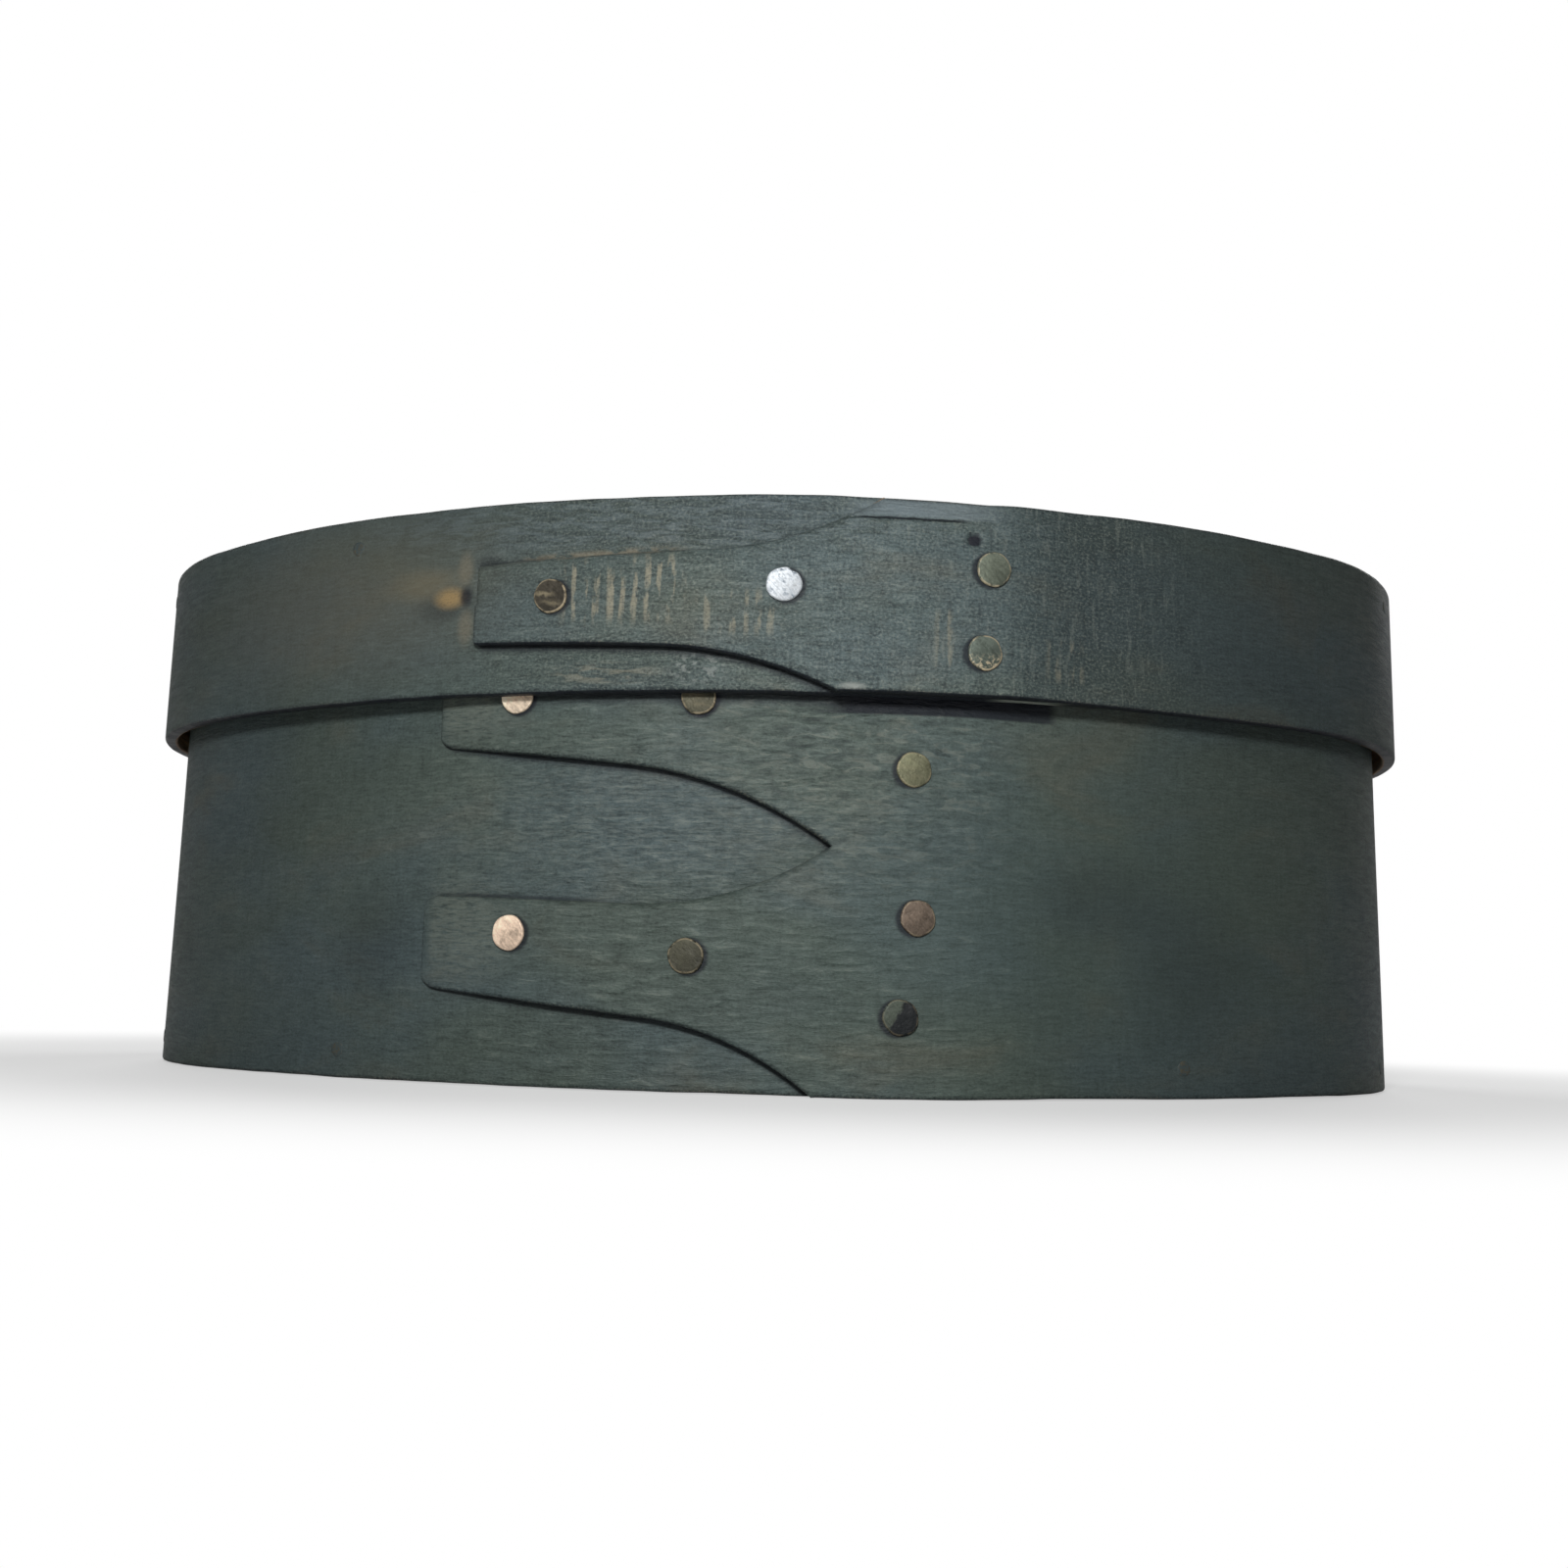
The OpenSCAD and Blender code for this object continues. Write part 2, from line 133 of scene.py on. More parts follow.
BOTTOM_PEGS = [
    Peg(-23, 3.0), Peg(25, 3.2), Peg(62, 2.9), Peg(118, 3.1),
    Peg(166, 3.0), Peg(195, 2.8), Peg(241, 3.1), Peg(298, 3.0),
]
LID_PEGS = [
    Peg(-22, 2.6), Peg(11.9, 1.4, layers=1, sunk=0.45), Peg(60, 3.1), Peg(121, 2.7),
    Peg(165, 3.0), Peg(196, 2.8), Peg(239, 3.2), Peg(300, 2.9),
]


# -------- the camera, where the photographer stood
LENS_PX = 1447.3
PICTURE_PX = 1600
SENSOR = 36
CAMERA_AT = Vector((14.01, -187.97, 10.29))
YAW, PITCH, ROLL = radians(-3.743), radians(8.271), radians(1.325)
NEAREST_SEEN = 0.01


def make_camera():
    """A camera with the lens, the place and the turn that were fitted to the photograph."""
    ahead = Vector((sin(YAW) * cos(PITCH), cos(YAW) * cos(PITCH), sin(PITCH)))
    level = Vector((cos(YAW), -sin(YAW), 0))
    above = level.cross(ahead)
    right = cos(ROLL) * level + sin(ROLL) * above
    up = cos(ROLL) * above - sin(ROLL) * level
    data = bpy.data.cameras.new("camera")
    data.sensor_width = SENSOR
    data.lens = SENSOR * LENS_PX / PICTURE_PX
    data.clip_start = NEAREST_SEEN
    camera = add_object("camera", data)
    turn = Matrix((right, up, -ahead)).transposed().to_4x4()
    camera.matrix_world = Matrix.Translation(CAMERA_AT * MM) @ turn
    bpy.context.scene.camera = camera


make_camera()


# -------- ovals
def clamp(value):
    return min(1.0, max(0.0, value))


class Oval:
    """A four-arc oval. A bearing is the direction of its outward normal, in degrees from -Y towards +X."""

    def __init__(self, half_length, half_width, end_r, long_r, shift=0.0):
        self.end_r = end_r
        self.long_r = long_r
        self.end_x = half_length - end_r
        self.arc_y = long_r - half_width
        self.shift = shift
        self.turn = degrees(atan2(self.end_x, self.arc_y))

    def arc(self, bearing):
        """The arc that faces a bearing: 0 front, 1 right end, 2 back, 3 left end."""
        b = (bearing + 180) % 360 - 180
        if abs(b) <= self.turn:
            return 0
        if abs(b) >= 180 - self.turn:
            return 2
        return 1 if b > 0 else 3

    def radius(self, bearing):
        return self.end_r if self.arc(bearing) % 2 else self.long_r

    def point(self, bearing, out=0.0):
        """The point of the oval that faces a bearing, moved outward."""
        arc = self.arc(bearing)
        x = (0, self.end_x, 0, -self.end_x)[arc]
        y = (self.arc_y, 0, -self.arc_y, 0)[arc] + self.shift
        return np.array((x, y)) + (self.radius(bearing) + out) * outward(bearing)

    def bearing_at(self, x, out=0.0):
        """The bearing of the front wall's point at x."""
        return degrees(asin(x / (self.long_r + out)))


def outward(bearing):
    """The outward normal's x and y at a bearing."""
    b = radians(bearing)
    return np.array((sin(b), -cos(b)))


def make_ovals():
    """The outer faces of the body's band and of the lid's, worked out as in the part's source."""
    a, b, r = BODY_HALF_LENGTH, BODY_HALF_WIDTH, BODY_END_R
    body = Oval(a, b, r, (a * a + b * b - 2 * a * r) / (2 * (b - r)))
    lid_a = a + LID_FIT + BAND_T
    lid_b = b + LAYER / 2 + LID_FIT + BAND_T
    long_r = lid_b + body.arc_y + LAYER / 2
    end_r = (2 * long_r * lid_b - lid_b ** 2 - lid_a ** 2) / (2 * (long_r - lid_a))
    return body, Oval(lid_a, lid_b, end_r, long_r, -LAYER / 2)


BODY, LID = make_ovals()


# -------- fingers, seen from the front
class Edge:
    """One edge of a finger: straight, at a slope, up to (x, z), and then a long arc that bends away."""

    def __init__(self, x, z, slope, r, bend):
        self.x, self.z, self.slope, self.r, self.bend = x, z, radians(slope), r, bend

    def __call__(self, x):
        z = self.z + (x - self.x) * tan(self.slope)
        if x > self.x:
            run = min(x - self.x, 0.95 * self.r)
            z += self.bend * (self.r - sqrt(self.r ** 2 - run ** 2))
        return z


FINGER_LOW = Edge(-8.8, 7.3, -6, 29, -1)
FINGER_HIGH = Edge(-10, 43.8, -2, 33, 1)
GAP_LOW = Edge(-11, 18.55, -2, 35, 1)
GAP_HIGH = Edge(-11, 32.55, -6, 40, -1)
LID_FINGER_LOW = Edge(-8, LID_LOW + 4.5, -2, 45, -1)
LID_FINGER_HIGH = Edge(-3, LID_HIGH - 6.1, 2, 32, 1)


def gap_tip_height():
    """Height at which the two edges of the body's pointed gap meet."""
    open_at, shut_at = -11.0, 21.0
    for _ in range(50):
        x = (open_at + shut_at) / 2
        if GAP_LOW(x) < GAP_HIGH(x):
            open_at = x
        else:
            shut_at = x
    return GAP_LOW(open_at)


SPLIT_Z = gap_tip_height()


def body_strips(x):
    """Heights between which the body's outer layer is wood, at x: the lower finger and the upper one."""
    low, high = max(BODY_LOW, FINGER_LOW(x)), min(BODY_HIGH, FINGER_HIGH(x))
    a, b = GAP_LOW(x), GAP_HIGH(x)
    if a >= b:
        a = b = SPLIT_Z
    return [(low, a), (b, high)]


def lid_strips(x):
    """Heights between which the lid's outer layer is wood, at x: its one finger."""
    return [(max(LID_LOW, LID_FINGER_LOW(x)), min(LID_HIGH, LID_FINGER_HIGH(x)))]


SUNK_PEG = LID_PEGS[1]
SUNK_HOLE = LID.point(SUNK_PEG.bearing, LAYER)[0], BOARD_LOW + SUNK_PEG.height


class Lap:
    """A band that laps over its own start: where its outer layer climbs, and where it ends in fingers.

    strips gives the fingers' edges at an x, rows how finely each is divided in height, tip_share the
    thickness that is left at the tips, and reach how much further a tip runs in its middle.
    """

    THINNED_OVER = 14
    THINNED_POWER = 0.7
    TIP_RUN = 8
    TIP_STEPS = (2.4, 1.9, 1.45, 1.05, 0.72, 0.46, 0.27, 0.13, 0.04, 0.0)
    STEP, FINE_STEP, PEG_STEP = 1.1, 0.4, 0.2
    FINE_TURN, PEG_TURN = 2, 0.9

    def __init__(self, oval, strips, rows, low, high, tip_x, corner, climb_x, run, tip_share, reach):
        self.oval, self.strips, self.rows, self.low, self.high = oval, strips, rows, low, high
        self.tip_x, self.corner, self.tip_share, self.reach = tip_x, corner, tip_share, reach
        self.tip = oval.bearing_at(tip_x, LAYER)
        self.climb0 = oval.bearing_at(climb_x)
        self.climb1 = oval.bearing_at(climb_x + run)
        # The share of the climb at which the room under the outer layer is the feathered start and the gap
        thin = 0.5 - sin(asin(1 - 2 * (FEATHER_T + LAP_GAP) / LAYER) / 3)
        self.start = self.climb1 + thin * (self.climb0 - self.climb1)
        self.full = [(low, SPLIT_Z), (SPLIT_Z, high)] if len(rows) == 2 else [(low, high)]

    def lift(self, bearing):
        """How far the outer layer's face lies outside the oval."""
        t = clamp((self.climb1 - bearing) / (self.climb1 - self.climb0))
        return LAYER * t * t * (3 - 2 * t)

    def thickness(self, x):
        """The outer layer's thickness at x: it is shaved thin towards its tips."""
        grown = clamp((x - self.tip_x) / self.THINNED_OVER) ** self.THINNED_POWER
        return BAND_T * (self.tip_share + (1 - self.tip_share) * grown)

    def slide(self, x, strip):
        """How many degrees further round a finger's tip lies than the lap's own end."""
        share = max(0.0, 1 - (x - self.tip_x) / self.TIP_RUN)
        return degrees(self.reach[strip] * share ** 2 / self.oval.long_r)

    def face(self, x):
        """How far the outer layer's face lies outside the oval at x, left of the climb."""
        return LAYER - BAND_T + self.thickness(x)

    def path(self):
        """Bearings from the scarfed start once round by the left, and on to the tips of the fingers."""
        found = []
        bearing = self.start
        end = self.tip - 360
        while bearing > end + degrees(self.TIP_STEPS[0] / self.oval.long_r):
            found.append(bearing)
            fine = bearing < self.climb1 - 360 + self.FINE_TURN or bearing > self.tip - self.FINE_TURN
            at_peg = self.oval is LID and abs(bearing + 360 - SUNK_PEG.bearing) < self.PEG_TURN
            step = self.PEG_STEP if at_peg else self.FINE_STEP if fine else self.STEP
            bearing -= degrees(step / self.oval.radius(bearing))
        return found + [end + degrees(d / self.oval.long_r) for d in self.TIP_STEPS]


BODY_LAP = Lap(BODY, body_strips, rows=(36, 44), low=BODY_LOW, high=BODY_HIGH, tip_x=-32.4, corner=1.6,
               climb_x=21.5, run=17, tip_share=0.25, reach=(0.8, 0))
LID_LAP = Lap(LID, lid_strips, rows=(46,), low=LID_LOW, high=LID_HIGH, tip_x=-27.6, corner=0.5,
              climb_x=26, run=11, tip_share=0.8, reach=(0,))


# -------- small unevenness of hand work
SWAY = 0.15
RIM_LOSS, RIM_SLOW, RIM_QUICK = 0.1, 0.14, 0.05
RIM_REACH = 3
LOW_RIM_SEED, HIGH_RIM_SEED = 3.1, 7.7
LOWER_EDGE_R, UPPER_EDGE_R = 0.45, 1.1
INNER_EDGE_R = 0.3
UNWORN = 9.0
NO_EDGE = 99.0
DIMPLE_DEPTH, DIMPLE_R, DIMPLE_WALL = 0.5, 0.85, 0.3
CRACK_Z = 57.35
LEAN_LEFT, LEAN_LEFT_RUN = 9.5, 3
LEAN_RIGHT, LEAN_RIGHT_RUN = 37, 13
LEAN_BACK, LEAN_DOWN = 0.9, 0.4


def sway(x, y, z):
    """The slow unevenness of a hand-bent wall, the same for all that lies on it."""
    return SWAY * noise.noise(Vector((x / 26, y / 26, z / 42)))


def rim_loss(x, y, seed):
    """How much a hand-cut rim falls short of its full height."""
    slow = noise.noise(Vector((x / 17, y / 17, seed)))
    quick = noise.noise(Vector((x / 4, y / 4, seed + 9)))
    return max(0.0, RIM_LOSS + RIM_SLOW * slow + RIM_QUICK * quick)


def rounding(distance, radius):
    """How far a rounded edge or corner falls short of the flat at a distance from the outline."""
    left = radius - min(radius, max(0.0, distance))
    return radius - sqrt(radius ** 2 - left ** 2)


def spread(low, high, n):
    """n + 1 heights, close together near both ends, where edges are rounded, if there is room for that."""
    near = [0, 0.06, 0.15, 0.28, 0.46, 0.72, 1.1]
    if high - low < 4 * near[-1]:
        return [low + (high - low) * i / n for i in range(n + 1)]
    inner = n - 2 * (len(near) - 1)
    step = (high - low - 2 * near[-1]) / inner
    middle = [low + near[-1] + step * i for i in range(1, inner)]
    return [low + d for d in near] + middle + [high - d for d in reversed(near)]


# -------- meshes
class Points:
    """A mesh's points in millimetres, with the values that its material reads."""

    def __init__(self):
        self.at, self.grain, self.edge = [], [], []

    def add(self, x, y, z, grain, edge=UNWORN):
        self.at.append((x, y, z))
        self.grain.append(grain)
        self.edge.append(edge)
        return len(self.at) - 1

    def ring(self, spots, edge=UNWORN, grain=None):
        """Adds a ring of points. Their grain is their place, unless another is given."""
        return [self.add(*spot, at, edge) for spot, at in zip(spots, grain or spots)]


def make_piece(name, points, faces, materials, slots=None, **values):
    """A smooth mesh object. Each named value, a number or a colour, is the same at all of its points."""
    mesh = bpy.data.meshes.new(name)
    mesh.from_pydata([tuple(c * MM for c in p) for p in points.at], [], faces)
    for material in materials:
        mesh.materials.append(material)
    if slots:
        mesh.polygons.foreach_set("material_index", slots)
    same = {key: [value] * len(points.at) for key, value in values.items()}
    for key, each in {"grain": points.grain, "edge": points.edge, **same}.items():
        each = np.array(each, np.float32)
        kind, field = ("FLOAT", "value") if each.ndim == 1 else ("FLOAT_VECTOR", "vector")
        mesh.attributes.new(key, kind, "POINT").data.foreach_set(field, each.ravel())
    bm = bmesh.new()
    bm.from_mesh(mesh)
    bmesh.ops.remove_doubles(bm, verts=bm.verts, dist=1e-7)
    bmesh.ops.recalc_face_normals(bm, faces=bm.faces)
    bm.to_mesh(mesh)
    bm.free()
    mesh.shade_smooth()
    return add_object(name, mesh)


def ring_faces(a, b):
    """The faces between two rings with equally many points."""
    return list(zip(a, a[1:] + a[:1], b[1:] + b[:1], b))


def stands_for(piece, node, body):
    """Makes a piece move with a body and take the place of one of its nodes."""
    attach(piece, body)
    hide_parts(node)


# -------- bands
def column_spans(lap, x):
    """The strips of a band's outer layer at x as (low, high, low is cut, high is cut)."""
    cut = rounding(x - lap.tip_x, lap.corner)
    spans = []
    strips = lap.strips(x)
    open_gap = len(strips) == 2 and strips[0][1] < strips[1][0]
    for number, (low, high) in enumerate(strips):
        low_cut = low > lap.low + 0.01 if number == 0 else open_gap
        high_cut = high < lap.high - 0.01 if number == len(strips) - 1 else open_gap
        spans.append((low + cut * low_cut, high - cut * high_cut, low_cut, high_cut))
    return spans


def dimple(x, z):
    """How far the lid's wall falls in at the hole of the peg that has sunk."""
    d = hypot(x - SUNK_HOLE[0], z - SUNK_HOLE[1])
    return DIMPLE_DEPTH * clamp((DIMPLE_R - d) / DIMPLE_WALL)


def lean(x):
    """1 where the lid's outer layer leans back above the crack in it, and 0 to the left and right."""
    return clamp((x - LEAN_LEFT) / LEAN_LEFT_RUN) * clamp((LEAN_RIGHT - x) / LEAN_RIGHT_RUN)


def uneven_height(base, z, from_low, from_high, leaning):
    """A point's height where the rims aren't cut quite true. A distance of NO_EDGE leaves it alone."""
    z += rim_loss(*base, LOW_RIM_SEED) * max(0.0, 1 - from_low / RIM_REACH)
    drop = rim_loss(*base, HIGH_RIM_SEED) + LEAN_DOWN * leaning
    return z - drop * max(0.0, 1 - from_high / RIM_REACH)


def band_column(lap, bearing, travelled, points):
    """Adds a band's points at a bearing, and gives the numbers of those outside and those inside."""
    on_top = bearing < lap.climb1 - 360
    lift = lap.lift(bearing + 360) if on_top else 0.0
    thick = BAND_T
    if not on_top and bearing > lap.climb0:
        thick = max(FEATHER_T, lap.lift(bearing) - LAP_GAP)
    x = lap.oval.point(bearing, lift)[0]
    leaning = lean(x) if on_top and lap is LID_LAP else 0.0
    if on_top:
        thick = min(thick, lap.thickness(x))
    spans = column_spans(lap, x) if on_top else [(a, b, False, False) for a, b in lap.full]
    outside, inside = [], []
    for number, (low, high, low_cut, high_cut) in enumerate(spans):
        facing = bearing - lap.slide(x, number) if on_top else bearing
        base, normal = lap.oval.point(facing, lift - BAND_T), outward(facing)
        low_free, high_free = low_cut or number == 0, high_cut or number == len(spans) - 1
        for k, z in enumerate(spread(low, high, lap.rows[number])):
            if k == 0 and not low_free:
                outside.append(outside[-1])
                inside.append(inside[-1])
                continue
            from_low = z - low if low_free else NO_EDGE
            from_high = high - z if high_free else NO_EDGE
            from_tip = x - lap.tip_x if on_top else NO_EDGE
            nearest = min(from_low, from_high, from_tip)
            upper = high_cut and from_high < from_low
            radius = min(UPPER_EDGE_R if upper else LOWER_EDGE_R, 0.75 * thick)
            at_tip = lap is BODY_LAP and from_tip <= nearest < NO_EDGE
            edge = UNWORN if upper or at_tip else min(nearest, UNWORN)
            low_rim, high_rim = NO_EDGE if low_cut else from_low, NO_EDGE if high_cut else from_high
            z = uneven_height(base, z, low_rim, high_rim, leaning)
            moved = sway(*base, z)
            fall = rounding(nearest, radius)
            if on_top and lap is LID_LAP:
                over_crack = max(0.0, (z - CRACK_Z) / (LID_HIGH - CRACK_Z))
                fall += dimple(x, z) + LEAN_BACK * leaning * over_crack
            fall_in = 0.0 if on_top else rounding(nearest, min(INNER_EDGE_R, 0.4 * thick))
            out_spot = base + normal * (thick - fall + moved)
            in_spot = base + normal * (fall_in + moved)
            grain = (travelled, z, 0.0)
            outside.append(points.add(*out_spot, z, grain, edge))
            inside.append(points.add(*in_spot, z, grain, edge))
    return outside, inside


def band(name, lap, materials):
    """One strip that runs from its scarfed start round the oval and over itself to its fingers."""
    points = Points()
    columns = []
    travelled = 0.0
    path = lap.path()
    for number, bearing in enumerate(path):
        if number:
            travelled += radians(path[number - 1] - bearing) * lap.oval.radius(bearing)
        columns.append(band_column(lap, bearing, travelled, points))
    faces, slots = [], []

    def quad(a, b, c, d, slot=0):
        ring = list(dict.fromkeys((a, b, c, d)))
        if len(ring) > 2:
            faces.append(ring)
            slots.append(slot)

    firsts = [sum(n + 1 for n in lap.rows[:i]) for i in range(len(lap.rows))]
    for (outer_a, inner_a), (outer_b, inner_b) in zip(columns, columns[1:]):
        for first, count in zip(firsts, lap.rows):
            for k in range(first, first + count):
                quad(outer_a[k], outer_b[k], outer_b[k + 1], outer_a[k + 1])
                quad(inner_a[k + 1], inner_b[k + 1], inner_b[k], inner_a[k], slot=1)
            shut_low = first > 0 and outer_b[first] == outer_b[first - 1]
            last = first + count
            shut_high = last + 1 < len(outer_b) and outer_b[last] == outer_b[last + 1]
            if not shut_low:
                quad(outer_a[first], inner_a[first], inner_b[first], outer_b[first])
            if not shut_high:
                quad(outer_a[last], outer_b[last], inner_b[last], inner_a[last])
    for outer, inner in (columns[0], columns[-1]):
        for first, count in zip(firsts, lap.rows):
            for k in range(first, first + count):
                quad(outer[k], outer[k + 1], inner[k + 1], inner[k])
    return make_piece(name, points, faces, materials, slots)


# -------- boards
BOARD_EDGE_R = 0.5
BOARD_SIDES = 300
BOARD_SPINE = 0.62
BOARD_LEAST_FALL = 0.02
BOARD_MEAN_WIDTH = 40
RING_SHARES = (0, 0.14, 0.28, 0.42, 0.56, 0.69, 0.8, 0.88, 0.94, 0.97, 0.985, 0.992, 0.997, 1.0)


def board(name, oval, low, high, materials, worn, seed):
    """A board that fills a band, with softened edges. Its rings run from a spine to the oval."""
    upper = [(share, 1) for share in RING_SHARES]
    lower = [(share, -1) for share in reversed(RING_SHARES)]
    points = Points()
    rows = []
    for share, side in upper + [(1.0, 0)] + lower:
        row = []
        for i in range(BOARD_SIDES):
            edge = oval.point(360 * i / BOARD_SIDES, -BAND_T - BOARD_GAP)
            spine = np.array((BOARD_SPINE * edge[0], oval.shift))
            x, y = spine + (edge - spine) * share
            fall = rounding((1 - share) * float(np.linalg.norm(edge - spine)), BOARD_EDGE_R)
            fall += max(BOARD_LEAST_FALL, worn * (0.5 + noise.noise(Vector((x / 30, y / 14, seed)))))
            z = (low + high) / 2 + side * ((high - low) / 2 - fall)
            row.append(points.add(x, y, z, (x, y, z), (1 - share) * BOARD_MEAN_WIDTH))
        rows.append(row)
    faces, slots = [], []
    for number, (a, b) in enumerate(zip(rows, rows[1:])):
        faces += ring_faces(a, b)
        slots += [0 if number < len(upper) else 1] * BOARD_SIDES
    return make_piece(name, points, faces, materials, slots)


# -------- pegs and tacks
class Spot:
    """A place on a wall with its own directions: along the wall, up, and out of it."""

    def __init__(self, oval, bearing, z, out):
        x, y = oval.point(bearing, out)
        moved = sway(*oval.point(bearing, -BAND_T), z)
        nx, ny = outward(bearing)
        self.origin = np.array((x + nx * moved, y + ny * moved, z))
        self.along = np.array((-ny, nx, 0.0))
        self.up = np.array((0.0, 0.0, 1.0))
        self.out = np.array((nx, ny, 0.0))

    def __call__(self, u, v, w):
        return tuple(self.origin + u * self.along + v * self.up + w * self.out)

    def circle(self, r, w, angles):
        """Points on a circle about the place, at a distance out of the wall."""
        return [self(r * cos(a), r * sin(a), w) for a in angles]


def close_rings(rings, faces):
    """Faces between neighbouring rings of points, and a cap on the first and on the last ring."""
    for a, b in zip(rings, rings[1:]):
        faces += ring_faces(a, b)
    faces += [rings[0][::-1], rings[-1]]


PEG_SIDES = 20
PEG_PROUD = 0.05
HEAD_SIDES = 40
HEAD_RINGS = (0.06, 0.2, 0.36, 0.52, 0.66, 0.78, 0.87, 0.93, 0.955, 0.975, 0.99, 1.0)
HEAD_UNDER = ((0.97, 0.04), (0.8, -0.06), (SHANK_R / HEAD_R, -0.12))
HEAD_DOME, RIM_FALL, RIM_FROM = 0.2, 0.16, 0.93
TILT_SINK = 0.8
NICK_DEPTH, NICK_AT, NICK_HALF = 0.16, 1.05, 0.3
SHANK_SIDES = 14
# The turned point, from its bend to its tip: how far along, half its width and its thickness
TURNED_POINT = ((-0.6, 0.2, 0.1), (-0.45, 0.45, 0.2), (0.0, 0.62, 0.26), (0.7, 0.55, 0.24),
                (1.4, 0.4, 0.2), (1.95, 0.24, 0.15), (2.2, 0.08, 0.08))


def round_angles(sides):
    """Angles that divide a full turn evenly."""
    return [2 * pi * i / sides for i in range(sides)]


def peg(name, place, spot, rng):
    """A whittled peg: a slightly uneven round end, a shank in the board and a point."""
    points, faces, rings = Points(), [], []
    phase, three = rng.uniform(0, 6.28), rng.uniform(0.02, 0.06)
    high = PEG_PROUD - place.sunk
    profile = [(0.25, high + 0.02), (0.6, high + 0.015), (0.88, high), (1.0, high - 0.06), (1.0, -1.6),
               (0.96, -4.0), (0.9, PEG_POINT - PEG_DEPTH), (0.3, -PEG_DEPTH)]
    for share, w in profile:
        spots = []
        for a in round_angles(PEG_SIDES):
            r = PEG_R * share * (1 + three * cos(3 * a + phase) + 0.03 * cos(5 * a - phase))
            spots.append(spot(r * cos(a), r * sin(a), w))
        rings.append(points.ring(spots))
    close_rings(rings, faces)
    return make_piece(name, points, faces, [PEG_WOOD], sunk=float(place.sunk > 0))


def tack_head(points, faces, at, spot, rng):
    """A cut head, hammered to a few flats, with an uneven outline, a rounded rim and a hollow under it."""
    flats = [(rng.uniform(0, 6.28), rng.uniform(0.06, 0.16)) for _ in range(4)]
    phase = rng.uniform(0, 6.28)
    angles = round_angles(HEAD_SIDES)
    rings = []
    for share in HEAD_RINGS:
        spots, flat = [], []
        for a in angles:
            reach = 1 + 0.02 * cos(2 * a + phase) + 0.015 * cos(5 * a - 2 * phase)
            reach -= NICK_DEPTH * at.nick * max(0.0, 1 - abs(a - NICK_AT) / NICK_HALF)
            r = HEAD_R * share * reach
            u, v = r * cos(a), r * sin(a)
            w = HEAD_H * (1 - HEAD_DOME * share ** 2)
            for turn, low in flats:
                along = (u * cos(turn) + v * sin(turn)) / HEAD_R
                w = min(w, HEAD_H * (1.0 - low * (0.35 + along)))
            w += 0.02 * noise.noise(Vector((u * 1.3 + 9 * phase, v * 1.3, phase)))
            w -= RIM_FALL * max(0.0, (share - RIM_FROM) / (1 - RIM_FROM)) ** 2
            w += at.tilt * (u * cos(at.tilt_to) + v * sin(at.tilt_to) - TILT_SINK)
            spots.append(spot(u, v, w))
            flat.append((u / HEAD_R, v / HEAD_R, phase))
        rings.append(points.ring(spots, HEAD_R * (1 - share), flat))
    for share, w in HEAD_UNDER:
        rings.append(points.ring(spot.circle(HEAD_R * share, w, angles), grain=flat))
    close_rings(rings, faces)


def tack_shank(points, faces, at, spot, depth):
    """The shank through both layers, and its point, which is turned and beaten flat inside."""
    angles = round_angles(SHANK_SIDES)
    plain = [(0.0, 0.0, 0.0)] * SHANK_SIDES
    shank = [points.ring(spot.circle(r, w, angles), grain=plain)
             for r, w in ((SHANK_R, -0.14), (SHANK_R, 0.1 - depth), (0.8 * SHANK_R, -0.16 - depth))]
    close_rings(shank, faces)
    turned = []
    dx, dz = sin(at.turned), cos(at.turned)
    for run, half, thick in TURNED_POINT:
        spots = []
        for a in angles:
            side, w = half * cos(a), thick / 2 * sin(a) - depth - 0.1
            spots.append(spot(run * dx + side * dz, run * dz - side * dx, w))
        turned.append(points.ring(spots, grain=plain))
    close_rings(turned, faces)


def tack(name, at, lap, rng):
    """A tack as one piece, with the values that its metal is mixed from."""
    spot = Spot(lap.oval, lap.oval.bearing_at(at.x, LAYER), at.z, lap.face(at.x))
    points, faces = Points(), []
    tack_head(points, faces, at, spot, rng)
    tack_shank(points, faces, at, spot, lap.face(at.x) + BAND_T)
    return make_piece(name, points, faces, [TACK_METAL], tone=srgb(*at.tone)[:3], metal=at.metal,
                      rim=at.rim, streaks=at.streaks, patina=at.patina, scratched=at.nick)


# -------- materials
def srgb(*levels):
    """A colour as seen on a screen, 0 to 255, as Blender's linear colour."""
    shares = [level / 255 for level in levels]
    linear = [c / 12.92 if c <= 0.04045 else ((c + 0.055) / 1.055) ** 2.4 for c in shares]
    return (*linear, 1.0)


def feed(tree, value, socket):
    """Links an input to another node's output, or gives it a plain value."""
    if isinstance(value, bpy.types.NodeSocket):
        tree.links.new(value, socket)
    else:
        socket.default_value = value


